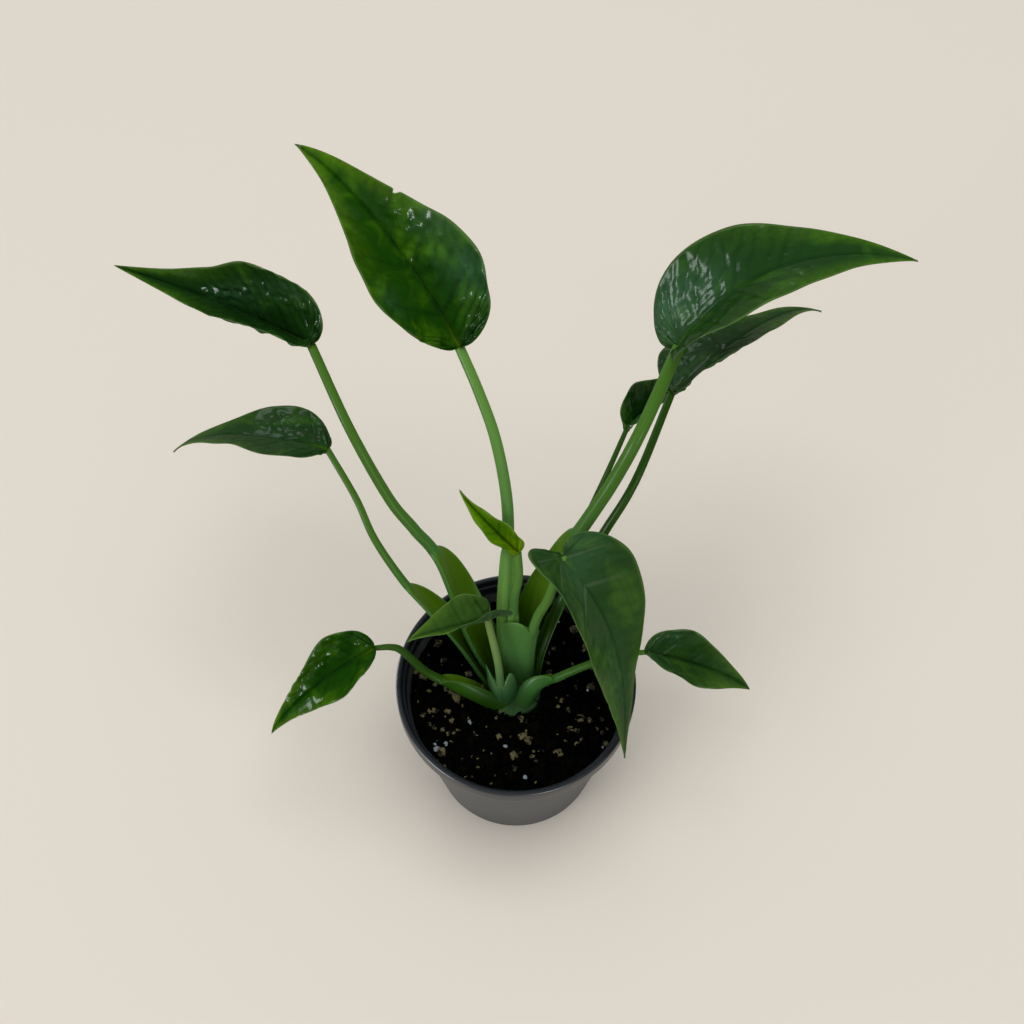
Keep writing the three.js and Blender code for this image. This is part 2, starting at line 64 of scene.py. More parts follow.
def srgb(red: int, green: int, blue: int) -> Colour:
    """Turn screen values of 0 to 255 into the linear colour that a shader takes.

    It is the standard screen curve: a straight foot, and above it a power of 2.4.

    Args:
        red: Red as seen on a screen.
        green: Green as seen on a screen.
        blue: Blue as seen on a screen.

    Returns:
        The linear colour.
    """
    shares = np.array([red, green, blue]) / 255
    linear = np.where(shares <= 0.04045, shares / 12.92, ((shares + 0.055) / 1.055) ** 2.4)
    return tuple(float(value) for value in linear)


# Shaders


class Term:
    """One output of a shader node, which arithmetic can be written with."""

    def __init__(self, shader: Shader, socket: bpy.types.NodeSocket) -> None:
        """Keep the socket and the shader that it belongs to."""
        self.shader = shader
        self.socket = socket

    def _math(self, operation: str, *values: Term | float, clamp: bool = False) -> Term:
        """Add a Math node.

        Args:
            operation: The node's operation.
            *values: Its inputs, in order.
            clamp: Whether the result is kept between 0 and 1.

        Returns:
            The result.
        """
        settings = {"operation": operation, "use_clamp": clamp}
        return self.shader.node("ShaderNodeMath", settings, dict(enumerate(values)))

    def __add__(self, other: Term | float) -> Term:
        """Add a number or another term."""
        return self._math("ADD", self, other)

    __radd__ = __add__

    def __mul__(self, other: Term | float) -> Term:
        """Multiply by a number or another term."""
        return self._math("MULTIPLY", self, other)

    def __sub__(self, other: Term | float) -> Term:
        """Subtract a number or another term."""
        return self._math("SUBTRACT", self, other)

    def __rsub__(self, other: float) -> Term:
        """Subtract from a number."""
        return self._math("SUBTRACT", other, self)

    def size(self) -> Term:
        """Drop the sign."""
        return self._math("ABSOLUTE", self)

    def held(self) -> Term:
        """Keep between 0 and 1."""
        return self._math("ADD", self, 0.0, clamp=True)

    def to_whole(self) -> Term:
        """Return the distance to the nearest whole number."""
        return self._math("PINGPONG", self, 0.5)

    def step(self, low: float, high: float) -> Term:
        """Rise smoothly from 0 at low to 1 at high.

        Args:
            low: Where the rise starts.
            high: Where it ends. It may lie below low, and then the mask falls.

        Returns:
            The mask.
        """
        settings = {"interpolation_type": "SMOOTHSTEP"}
        return self.shader.node("ShaderNodeMapRange", settings, {0: self, 1: low, 2: high})


class Shader:
    """A procedural material with one Principled surface."""

    def __init__(self, name: str, **constants: float) -> None:
        """Start the material.

        Args:
            name: The material's name.
            **constants: Numbers for the surface's own sockets, with spaces as underscores.
        """
        self.material = bpy.data.materials.new(name)
        self.material.use_nodes = True
        self.tree = self.material.node_tree
        self.surface = next(n for n in self.tree.nodes if n.type == "BSDF_PRINCIPLED")
        for key, value in constants.items():
            self.surface.inputs[key.replace("_", " ")].default_value = value

    def node(self, kind: str, settings: dict, inputs: dict, output: int | str = 0) -> Term:
        """Add a node.

        Args:
            kind: Its type.
            settings: Its own settings, which are set before its sockets.
            inputs: Values or terms for its sockets, by number or name.
            output: The output to return, by number or name.

        Returns:
            The chosen output.
        """
        made = self.tree.nodes.new(kind)
        for key, value in settings.items():
            setattr(made, key, value)
        for key, value in inputs.items():
            self._plug(made.inputs[key], value)
        return Term(self, made.outputs[output])

    def _plug(self, socket: bpy.types.NodeSocket, value: Term | float | tuple) -> None:
        """Link a term to a socket, or set the socket's own value.

        Args:
            socket: The socket.
            value: The term, a number, or a colour's three parts.
        """
        if isinstance(value, Term):
            self.tree.links.new(value.socket, socket)
        elif socket.type == "RGBA":
            socket.default_value = (*value, 1)
        else:
            socket.default_value = value

    def feed(self, **terms: Term | tuple | float) -> None:
        """Plug terms into the surface's sockets, named with underscores for spaces."""
        for key, value in terms.items():
            self._plug(self.surface.inputs[key.replace("_", " ")], value)

    def place(self) -> Term:
        """Return the object's own coordinates, in metres."""
        return self.node("ShaderNodeTexCoord", {}, {}, "Object")

    def map(self, name: str) -> tuple[Term, Term]:
        """Return both coordinates of a UV map."""
        return self.parts(self.node("ShaderNodeUVMap", {"uv_map": name}, {}))[:2]

    def parts(self, vector: Term) -> tuple[Term, Term, Term]:
        """Take a vector apart.

        Args:
            vector: The vector.

        Returns:
            Its three parts.
        """
        first = self.node("ShaderNodeSeparateXYZ", {}, {0: vector})
        outputs = first.socket.node.outputs
        return first, Term(self, outputs[1]), Term(self, outputs[2])

    def vector(self, x: Term | float, y: Term | float, z: Term | float = 0.0) -> Term:
        """Join three numbers into a vector."""
        return self.node("ShaderNodeCombineXYZ", {}, {0: x, 1: y, 2: z})

    def attribute(self, name: str) -> Term:
        """Return a number that the mesh holds at its points."""
        return self.node("ShaderNodeAttribute", {"attribute_name": name}, {}, "Fac")

    def noise(self, vector: Term, scale: float, detail: float = 2.0, warp: float = 0.0) -> Term:
        """Add noise.

        Args:
            vector: Where it is read.
            scale: Its waves over one unit of the vector.
            detail: How many finer layers it has.
            warp: How far it is distorted.

        Returns:
            The noise, around 0.5.
        """
        inputs = {"Vector": vector, "Scale": scale, "Detail": detail, "Distortion": warp}
        return self.node("ShaderNodeTexNoise", {}, inputs)

    def mix(self, share: Term | float, first: Term | Colour, second: Term | Colour) -> Term:
        """Blend two colours.

        Args:
            share: How much of the second colour shows.
            first: The first colour.
            second: The second colour.

        Returns:
            The blended colour.
        """
        return self.node("ShaderNodeMix", {"data_type": "RGBA"}, {0: share, 6: first, 7: second}, 2)

    def layered(self, base: Term | Colour, *layers: tuple[Term, Colour]) -> Term:
        """Lay colours over each other.

        Args:
            base: The colour underneath.
            *layers: How much of each further colour shows, and the colour.

        Returns:
            What shows on top.
        """
        for share, colour in layers:
            base = self.mix(share, base, colour)
        return base

    def bump(self, height: Term, depth: float) -> Term:
        """Turn heights of 0 to 1 into a normal.

        Args:
            height: The heights.
            depth: The height of 1, in metres.

        Returns:
            The bumped normal.
        """
        inputs = {"Height": height, "Distance": depth, "Strength": 1.0}
        return self.node("ShaderNodeBump", {}, inputs)


# Meshes


def catmull_rom(points: Array, t: Array) -> Array:
    """Return places on a smooth curve through points.

    Between two points it is the uniform Catmull-Rom cubic, whose slope at a point is half the
    step between its neighbours; past either end a mirrored point stands in.

    Args:
        points: The curve's points, one per row.
        t: Shares of the curve, 0 to 1.

    Returns:
        One place per share.
    """
    count = len(points) - 1
    padded = np.vstack([2 * points[0] - points[1], points, 2 * points[-1] - points[-2]])
    along = np.asarray(t, float) * count
    index = np.clip(along.astype(int), 0, count - 1)
    f = (along - index)[:, None]
    before, start, end, after = (padded[index + k] for k in range(4))
    return 0.5 * (
        2 * start
        + (end - before) * f
        + (2 * before - 5 * start + 4 * end - after) * f**2
        + (3 * start - before - 3 * end + after) * f**3
    )


def wavefield(x: Array, y: Array, wavelength: float, seed: int, waves: int = 14) -> Array:
    """Return a smooth random field of about -1 to 1.

    It is a sum of plane waves, sin(place . direction * pace + phase), each 0.7 to 1.5 times as
    long as the mean, divided by the root of their number.

    Args:
        x: First coordinate.
        y: Second coordinate.
        wavelength: The waves' mean length, in the coordinates' unit.
        seed: Picks the waves.
        waves: How many are summed.

    Returns:
        The field, shaped as x.
    """
    rng = np.random.default_rng(seed)
    heading = rng.uniform(0, 2 * np.pi, waves)
    pace = 2 * np.pi / (wavelength * rng.uniform(0.7, 1.5, waves))
    phase = rng.uniform(0, 2 * np.pi, waves)
    turn = (
        x[..., None] * (pace * np.cos(heading))
        + y[..., None] * (pace * np.sin(heading))
        + phase
    )
    return np.sin(turn).sum(-1) / math.sqrt(waves)


def bell(distance: Array, width: Array | float) -> Array:
    """Return the bell curve exp(-(distance / width) squared)."""
    return np.exp(-((distance / width) ** 2))


def ramp(value: Array, low: float, high: float) -> Array:
    """Rise smoothly from 0 at low to 1 at high, as 3t^2 - 2t^3."""
    t = np.clip((value - low) / (high - low), 0, 1)
    return t * t * (3 - 2 * t)


def tube_faces(rows: int, columns: int) -> Array:
    """Return the quads of a grid whose rows close on themselves.

    Args:
        rows: How many rows it has.
        columns: How many points a row has.

    Returns:
        The corner numbers, one quad per row.
    """
    i, j = np.meshgrid(np.arange(rows - 1), np.arange(columns), indexing="ij")
    here, beside = i * columns + j, i * columns + (j + 1) % columns
    return np.stack([here, beside, beside + columns, here + columns], -1).reshape(-1, 4)


@dataclass
class Surface:
    """Points and faces on their way to becoming a piece.

    Attributes:
        points: Places in millimetres, one per row.
        faces: Corner numbers, one face per row.
        uv: A UV map's places by the map's name, one row per point.
        marks: Numbers that the shader reads, by name, one per point.
    """

    points: Array
    faces: Array
    uv: dict[str, Array] = field(default_factory=dict)
    marks: dict[str, Array] = field(default_factory=dict)

    def build(self, name: str, sharp_above: float = 180.0) -> bpy.types.Object:
        """Make the piece: its doubles merged, its faces outwards and smooth.

        Args:
            name: The object's name.
            sharp_above: Edges that turn more than this stay sharp.

        Returns:
            The object, at the origin.
        """
        mesh = bpy.data.meshes.new(name)
        mesh.from_pydata((self.points * MM).tolist(), [], self.faces.tolist())
        corners = np.zeros(len(mesh.loops), np.int32)
        mesh.loops.foreach_get("vertex_index", corners)
        for key, places in self.uv.items():
            layer = mesh.uv_layers.new(name=key)
            layer.uv.foreach_set("vector", places[corners].astype(np.float32).ravel())
        for key, numbers in self.marks.items():
            layer = mesh.attributes.new(key, "FLOAT", "POINT")
            layer.data.foreach_set("value", numbers.astype(np.float32).ravel())
        form = bmesh.new()
        form.from_mesh(mesh)
        bmesh.ops.remove_doubles(form, verts=form.verts, dist=MERGE_DISTANCE)
        bmesh.ops.recalc_face_normals(form, faces=form.faces)
        form.to_mesh(mesh)
        form.free()
        mesh.shade_smooth()
        if sharp_above < 180:
            mesh.set_sharp_from_angle(angle=math.radians(sharp_above))
        piece = bpy.data.objects.new(name, mesh)
        bpy.context.scene.collection.objects.link(piece)
        return piece


def settle(piece: bpy.types.Object, material: bpy.types.Material, slot: str, *nodes: str) -> None:
    """Dress a piece, tie it to the plant's one body and let it stand for its solids.

    Args:
        piece: The finished object.
        material: Its material.
        slot: The record's slot for its finish; it is not used.
        *nodes: The solids that it replaces.
    """
    piece.data.materials.append(material)
    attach(piece, "root")
    if nodes:
        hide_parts(*nodes)
    LOG.info("%s: %d faces", piece.name, len(piece.data.polygons))


# Finishes


@dataclass(frozen=True)
class BladeFinish:
    """The skin of a leaf blade.

    Attributes:
        name: The material's name.
        slot: The record's slot for it.
        deep: The green of its darker patches.
        fresh: The green of its lighter patches.
        flush: The yellow-green that shows through near the margin and at the sinus.
        fresh_share: How much of the face is fresh, 0 to 1.
        gloss: Roughness of its wet-looking coat.
        vein: Colour along its side veins: by default a dark painted shade of the valleys they lie
            in,
        but the soft finish's pale one is the veins' own colour.
        vein_end: How far along the blade they show.
        midrib: Dark green painted over its midrib as the shade in its groove.
        crease: Painted shade in the creases between its ridges.
        margin: Colour of its thin edge.
        painted_sheen: The cool green painted at its marked spots as sheen.
        back: The two greens of its underside.
        back_rib: Colour of the ribs there.
        patch_scale: Patches over a metre.
        mottle_scale: Fine mottles over a metre.
        pucker_scale: Fine puckers over a metre.
        pucker_depth: Their depth, in metres.
    """

    name: str
    slot: str
    deep: Colour
    fresh: Colour
    flush: Colour
    fresh_share: float
    gloss: float
    vein: Colour = srgb(8, 34, 10)
    vein_end: float = 0.8
    midrib: Colour = srgb(10, 40, 12)
    crease: Colour = srgb(8, 30, 6)
    margin: Colour = srgb(96, 124, 62)
    painted_sheen: Colour = srgb(70, 112, 80)
    back: tuple[Colour, Colour] = (srgb(58, 88, 52), srgb(82, 110, 70))
    back_rib: Colour = srgb(120, 146, 92)
    patch_scale: float = 60
    mottle_scale: float = 420
    pucker_scale: float = 190
    pucker_depth: float = 0.0003

    def material(self) -> bpy.types.Material:
        """Make the material: patches, a pale margin, fine puckers, painted sheen at its spots, and
        painted shade along its veins, its creases and its midrib groove.

        The blade's own map counts its side veins and gives the share from midrib to margin, and
        its marks tell the way along, the midrib, the creases, the spots and the underside.

        Returns:
            The material.
        """
        sh = Shader(self.name, Specular_IOR_Level=0.0, Coat_Roughness=self.gloss)
        place = sh.place()
        phase, across = sh.map("blade")
        out = across.size()
        reach = sh.attribute("reach")
        middle = sh.attribute("midrib")
        under = sh.attribute("under")
        vein = phase.to_whole().step(0.09, 0.0) * out.step(0.98, 0.5)
        patch_start = 0.62 - 0.3 * self.fresh_share
        patches = sh.noise(place, self.patch_scale, 4, 0.8).step(patch_start, 0.75)
        mottle = sh.noise(place, self.mottle_scale, 3)
        outer = out.step(0.35, 1.0) * reach.step(0.1, 0.9) + reach.step(0.8, 1.0) * 0.6
        face = sh.layered(
            self.deep,
            (patches * 0.7, self.fresh),
            ((mottle - 0.35).held() * 0.5, self.deep),
            ((outer * 0.55 + patches * 0.2).held() * mottle, self.flush),
            # Painted shade along the side veins, in the valleys between the pillows; the soft
            # finish's pale veins are their own colour.
            (vein * 0.3 * reach.step(self.vein_end, 0.1), self.vein),
            # Painted shade in the groove over the midrib.
            (middle * 0.45, self.midrib),
            (middle * 0.35 * reach.step(0.16, 0.0), self.flush),
            # Painted shade in the creases between the ridges.
            ((sh.attribute("crease") * 0.9).held(), self.crease),
            (out.step(0.93, 1.0) * 0.5, self.margin),
            # Painted sheen: a cool green at the marked spots stands in for pale surroundings
            # mirrored in the gloss.
            (sh.attribute("painted_sheen") * (1.1 - mottle).held() * 0.75, self.painted_sheen),
        )
        back = sh.mix(mottle.step(0.3, 0.8) * 0.5, *self.back)
        back = sh.mix((middle + vein * 0.6).held() * 0.6, back, self.back_rib)
        puckers = sh.noise(place, self.pucker_scale, 2, 0.8)
        sh.feed(
            Base_Color=sh.mix(under, face, back),
            Roughness=0.6,
            Coat_Weight=0.14 - under * 0.1,
            Normal=sh.bump(puckers, self.pucker_depth),
        )
        return sh.material


@dataclass(frozen=True)
class StalkFinish:
    """The skin of a petiole.

    Attributes:
        name: The material's name.
        foot: Its colour at the sheath.
        top: Its colour near the blade.
        lining: The colour of the sheath's hollow side.
        streak: The colour of its lengthwise streaks.
        edge: The colour of the wings' thin edges.
        shade: The painted shade of its foot, down between the sheaths.
    """

    name: str
    foot: Colour
    top: Colour
    lining: Colour
    streak: Colour = srgb(44, 80, 18)
    edge: Colour = srgb(112, 156, 72)
    shade: Colour = srgb(20, 46, 8)

    def material(self) -> bpy.types.Material:
        """Make the material: a run of green along the stalk with fine lengthwise streaks, and
        painted shade at its foot.

        Returns:
            The material.
        """
        sh = Shader(self.name, Specular_IOR_Level=0.02, Coat_Weight=0.08, Coat_Roughness=0.3)
        along, around = sh.map("stalk")
        streaks = sh.noise(sh.vector(along * 4, around * 30), 1.0, 3)
        clouds = sh.noise(sh.place(), 90, 3)
        skin = sh.layered(
            self.foot,
            (along.step(0.1, 0.75), self.top),
            ((clouds - 0.4).held() * 0.8, self.top),
            ((streaks - 0.45).held() * 0.5, self.streak),
            (sh.attribute("inner"), self.lining),
            (sh.attribute("rim") * 0.35, self.edge),
            # Painted shade at the foot, down between the sheaths.
            (along.step(0.24, 0.08) * 0.6, self.shade),
        )
        sh.feed(
            Base_Color=skin,
            Roughness=0.38 + clouds * 0.15,
            Normal=sh.bump(streaks, 0.00025),
        )
        return sh.material


@dataclass(frozen=True)
class PotPlastic:
    """The pot's black moulded plastic: a satin rim over a duller, scuffed wall.

    Attributes:
        wall: Colour of the wall, clean and dusty.
        band: Colour of the rim, clean and dusty.
        band_start: The heights between which the wall turns into the rim, in metres.
    """

    wall: tuple[Colour, Colour] = (srgb(52, 53, 55), srgb(68, 68, 69))
    band: tuple[Colour, Colour] = (srgb(16, 19, 25), srgb(34, 39, 48))
    band_start: Pair = (0.0765, 0.0785)

    def material(self) -> bpy.types.Material:
        """Make the material, with clouds of dust and a fine moulded grain.

        Returns:
            The material.
        """
        sh = Shader("pot_plastic", IOR=1.49)
        place = sh.place()
        rim = sh.parts(place)[2].step(*self.band_start)
        dust = sh.noise(place, 40, 4).step(0.35, 0.8)
        wall = sh.mix(dust, *self.wall)
        band = sh.mix(dust * 0.4, *self.band)
        sh.feed(
            Base_Color=sh.mix(rim, wall, band),
            Roughness=0.55 - rim * 0.22 + dust * 0.08,
            Normal=sh.bump(sh.noise(place, 2600, 2), 0.00004),
        )
        return sh.material


@dataclass(frozen=True)
class PottingMix:
    """Peaty soil: nearly black, with brown crumbs and dark pores.

    Attributes:
        dark: Colour of its pores and of its crumbs.
        brown: Colour of its barky patches.
    """

    dark: tuple[Colour, Colour] = (srgb(3, 3, 3), srgb(9, 8, 7))
    brown: Colour = srgb(26, 24, 16)

    def material(self) -> bpy.types.Material:
        """Make the material.

        Returns:
            The material.
        """
        sh = Shader("potting_mix", Specular_IOR_Level=0.0)
        place = sh.place()
        crumbs = sh.noise(place, 700, 4)
        dark = sh.mix(crumbs.step(0.4, 0.7), *self.dark)
        patches = sh.noise(place, 160, 3).step(0.5, 0.75)
        sh.feed(
            Base_Color=sh.mix(patches * 0.3, dark, self.brown),
            Roughness=0.95,
            Normal=sh.bump(crumbs, 0.0012),
        )
        return sh.material


@dataclass(frozen=True)
class GrainStone:
    """A pale porous grain, soiled by the mix that it lies in.

    Attributes:
        name: The material's name.
        light: Its clean colour.
        dark: Its shaded colour.
        soiled: How much of it the dirt covers, 0 to 1.
        dirt: Colour of the dirt.
    """

    name: str
    light: Colour
    dark: Colour
    soiled: float
    dirt: Colour = srgb(20, 18, 15)

    def material(self) -> bpy.types.Material:
        """Make the material.

        Returns:
            The material.
        """
        sh = Shader(self.name, Specular_IOR_Level=0.3)
        place = sh.place()
        cover = sh.noise(place, 420, 3).step(0.75 - 0.5 * self.soiled, 0.85 - 0.4 * self.soiled)
        pores = sh.noise(place, 1500, 2)
        clean = sh.mix(pores, self.dark, self.light)
        sh.feed(
            Base_Color=sh.mix(cover, clean, self.dirt),
            Roughness=0.85,
            Normal=sh.bump(pores, 0.0004),
        )
        return sh.material


@dataclass(frozen=True)
class CrownSkin:
    """The rhizome's crown: dull green, ringed by leaf scars.

    Attributes:
        greens: Its darker and its lighter green.
    """

    greens: tuple[Colour, Colour] = (srgb(20, 44, 14), srgb(38, 74, 28))

    def material(self) -> bpy.types.Material:
        """Make the material, whose rings follow the height.

        Returns:
            The material.
        """
        sh = Shader("crown_skin")
        place = sh.place()
        rings = sh.noise(sh.vector(0.0, 0.0, sh.parts(place)[2] * 900), 1.0, 2)
        skin = sh.mix(sh.noise(place, 140, 3).step(0.3, 0.7), *self.greens)
        sh.feed(Base_Color=skin, Roughness=0.7, Normal=sh.bump(rings, 0.0006))
        return sh.material


# Leaves

# The outline of a half, from the sinus round to the tip, in shares of the length: the distance
# from the midrib and the distance along it.
ROUND_OUTLINE = np.array([
    (0, 0), (0.05, -0.012), (0.12, 0.005), (0.195, 0.048), (0.26, 0.11), (0.308, 0.19),
    (0.326, 0.29), (0.306, 0.4), (0.26, 0.5), (0.2, 0.6), (0.142, 0.7), (0.078, 0.825), (0, 1),
])
# How the outline starts where the base runs back in a full lobe.
LOBED_BASE = np.array([
    (0, 0), (0.045, -0.055), (0.12, -0.095), (0.215, -0.07), (0.29, 0.03), (0.325, 0.16),
    (0.328, 0.29),
])
# How a full drip tip narrows the outline, point by point.
DRIP_TIP = np.array([1, 1, 1, 1, 1, 0.99, 0.93, 0.83, 0.74, 0.68, 0.65, 0.67, 1])
# How far a side vein climbs along the midrib for each step across.
RIB_SLANT = 0.5
# Where the midrib's curve is worked out, in shares of the length, and in how many pieces.
MIDRIB_SPAN = (-0.4, 1.05)
MIDRIB_PIECES = 580
# Added to a blade's curl and a sheath's turn, which are divided by and may be 0.
LEAST_CUP = 1e-6
LEAST_TURN = 1e-3
# The blade's relief: heights and wavelengths in millimetres, and the margin's half waves.
PILLOW_HEIGHT = 1.5
RIDGE_HEIGHT = 0.45
FOLD_HEIGHT = 0.7
FOLD_LENGTH = 9.0
DIMPLE_HEIGHT = 0.22
DIMPLE_LENGTH = 4.5
SPOT_HEIGHT = 0.4
WAVE_HEIGHT = 0.5
MARGIN_WAVES = 7
BROAD_HEIGHT = 0.35
BROAD_LENGTH = 24.0
# The midrib and the side veins, in millimetres, but the veins' width in shares of their distance.
GROOVE_DEPTH = 0.45
GROOVE_WIDTH = 0.9
KEEL_DEPTH = 1.1
RIB_HEIGHT = 0.18
RIB_WIDTH = 0.06
# How much of the midrib's thickness is lost by the tip.
MIDRIB_TAPER = 0.85
# A nick's width along the outline, and the shares from midrib to margin between which it opens.
NICK_WIDTH = 0.006
NICK_REACH = (0.75, 1.0)
# What makes a rounded ear, gain * s * (1 - s), as high as a pointed one, s.
DOME_GAIN = 4


@dataclass(frozen=True)
class Spot:
    """A marked spot on a blade, as strong as a bell round its middle.

    Attributes:
        x: Its signed distance from the midrib, in shares of the length.
        y: Its distance along the midrib, in shares of the length.
        size: The bell's width, in shares of the length.
        painted_sheen: How much painted cool-green sheen it has.
        pucker: How finely it is puckered.
    """

    x: float
    y: float
    size: float
    painted_sheen: float = 0.0
    pucker: float = 0.0


@dataclass
class Blade:
    """One leaf blade. A pair is its left half, then its right half, or its base, then its tip.

    Attributes:
        length: From the sinus to the tip.
        azimuth: Where the midrib heads at the sinus, from +X towards +Y.
        pitch: How steeply it climbs there.
        roll: How far the blade leans to its right.
        bend: How far the midrib arches over its whole length.
        hook: How far its tip arches on top of that.
        fold: How far the halves rise from the midrib, at the base and at the tip.
        cup: How fast they curl up further, at the base and at the tip, in radians per length.
        width: Each half's share of the usual width.
        lobe: How far each half runs back behind the sinus, 0 for a round base.
        lobe_curl: How far the lobes tip down behind the sinus.
        drip: How narrow the tip is drawn.
        twist: How far the blade turns about its midrib by the tip.
        sweep: How far the tip swings to the right, as a share of the length.
        lean: How much the right half is folded up beyond the fold, and the left short of it.
        veins: Side veins on each half.
        pucker: How strongly the blade is puckered near its base.
        ribbing: How strongly each half is ridged between its veins.
        spots: Its marked spots, with painted sheen and fine puckers.
        seed: Picks its irregularities.
        nick: Where its right margin is nicked, as a share of the outline, and how deep.
        rows_per_vein: Rows of the mesh from one side vein to the next.
        columns: Columns of the mesh on each half.
        thickness: Its thickness at the midrib.
    """

    length: float
    azimuth: float
    pitch: float
    roll: float
    bend: float
    hook: float
    fold: Pair
    cup: Pair
    width: Pair
    lobe: Pair
    lobe_curl: float
    drip: float
    twist: float = 0.0
    sweep: float = 0.0
    lean: float = 0.0
    veins: int = 8
    pucker: float = 1.0
    ribbing: Pair = (0.5, 0.5)
    spots: tuple[Spot, ...] = ()
    seed: int = 1
    nick: Pair = (0.0, 0.0)
    rows_per_vein: int = 20
    columns: int = 30
    thickness: float = 0.5

    def outline(self, half: int, t: Array) -> Array:
        """Return the flat outline of one half, from the sinus round to the tip.

        The points blend from the round base to the lobed one, and the drip tip draws them in.

        Args:
            half: 0 for the left half, 1 for the right.
            t: Shares of the outline.

        Returns:
            Distance from the midrib and distance along it, in shares of the length.
        """
        lobed = np.vstack([LOBED_BASE, ROUND_OUTLINE[len(LOBED_BASE):]])
        points = ROUND_OUTLINE + self.lobe[half] * (lobed - ROUND_OUTLINE)
        points[:, 0] *= self.width[half] * (1 + self.drip * (DRIP_TIP - 1))
        return catmull_rom(points, t)

    def midrib(self, y: Array) -> tuple[Array, Array, Array]:
        """Return how far the midrib has run forwards and upwards, and its slope, at y.

        The slope is bend * y + hook * y^4 in front of the sinus and lobe_curl * y behind it; the
        run and the climb are the sums of its cosine and its sine.

        Args:
            y: Distances along the midrib, in shares of the length.

        Returns:
            Run, climb and slope.
        """
        table = np.linspace(*MIDRIB_SPAN, MIDRIB_PIECES + 1)
        front = np.clip(table, 0, None)
        slope = np.radians(self.bend * front + self.hook * front**4)
        slope += np.radians(self.lobe_curl) * np.clip(table, None, 0)
        step = table[1] - table[0]
        sums = []
        for part in (np.cos(slope), np.sin(slope)):
            total = np.concatenate([[0], np.cumsum((part[1:] + part[:-1]) / 2 * step)])
            sums.append(np.interp(y, table, total) - np.interp(0, table, total))
        return sums[0], sums[1], np.interp(y, table, slope)

    def axes(self) -> tuple[Array, Array, Array]:
        """Return the blade's own directions at the sinus.

        Returns:
            Forward along the midrib, to the right, and out of the upper face.
        """
        heading, climb, roll = np.radians([self.azimuth, self.pitch, self.roll])
        forward = np.array([
            np.cos(heading) * np.cos(climb), np.sin(heading) * np.cos(climb), np.sin(climb),
        ])
        level = np.array([np.sin(heading), -np.cos(heading), 0.0])
        face = np.cross(level, forward)
        right = level * np.cos(roll) + face * np.sin(roll)
        return forward, right, face * np.cos(roll) - level * np.sin(roll)

    def place(self, sinus: Array, x: Array, y: Array) -> Array:
        """Return the blade's middle surface.

        Across, each half is an arc that leaves the midrib at the fold angle and turns by cup; the
        section twists along the blade, is swept sideways, and stands square to the midrib.

        Args:
            sinus: Where the stalk joins the blade.
            x: Signed distance from the midrib, in shares of the length.
            y: Distance along the midrib, in shares of the length.

        Returns:
            Places in millimetres.
        """
        side = np.where(x < 0, -1.0, 1.0)
        share = np.clip(y, 0, 1)
        fold = np.radians(self.fold[0] + (self.fold[1] - self.fold[0]) * share + self.lean * side)
        cup = self.cup[0] + (self.cup[1] - self.cup[0]) * share + LEAST_CUP
        turn = fold + cup * np.abs(x)
        across = side * (np.sin(turn) - np.sin(fold)) / cup
        raised = (np.cos(fold) - np.cos(turn)) / cup
        twist = np.radians(self.twist) * share
        sideways = across * np.cos(twist) - raised * np.sin(twist) + self.sweep * share**2
        height = across * np.sin(twist) + raised * np.cos(twist)
        run, climb, slope = self.midrib(y)
        forward, right, face = self.axes()
        ahead = run - height * np.sin(slope)
        up = climb + height * np.cos(slope)
        parts = (ahead, forward), (sideways, right), (up, face)
        return sinus + self.length * sum(amount[..., None] * axis for amount, axis in parts)

    def normal(self, sinus: Array, x: Array, y: Array) -> Array:
        """Return the middle surface's upward normal: its slope across, crossed with that along.

        Args:
            sinus: Where the stalk joins the blade.
            x: Signed distance from the midrib, in shares of the length.
            y: Distance along the midrib, in shares of the length.

        Returns:
            Unit normals.
        """
        reach = 0.008
        across = self.place(sinus, x + reach, y) - self.place(sinus, x - reach, y)
        along = self.place(sinus, x, y + reach) - self.place(sinus, x, y - reach)
        normal = np.cross(across, along)
        return normal / np.linalg.norm(normal, axis=-1, keepdims=True)

    def spotted(self, x: Array, y: Array, strengths: list[float]) -> Array:
        """Add up the spots' bells.

        Args:
            x: Signed distance from the midrib, in shares of the length.
            y: Distance along the midrib, in shares of the length.
            strengths: How strong each spot is.

        Returns:
            The sum at each place.
        """
        total = np.zeros_like(x)
        for spot, strength in zip(self.spots, strengths):
            total += strength * bell(np.hypot(x - spot.x, y - spot.y), spot.size)
        return total

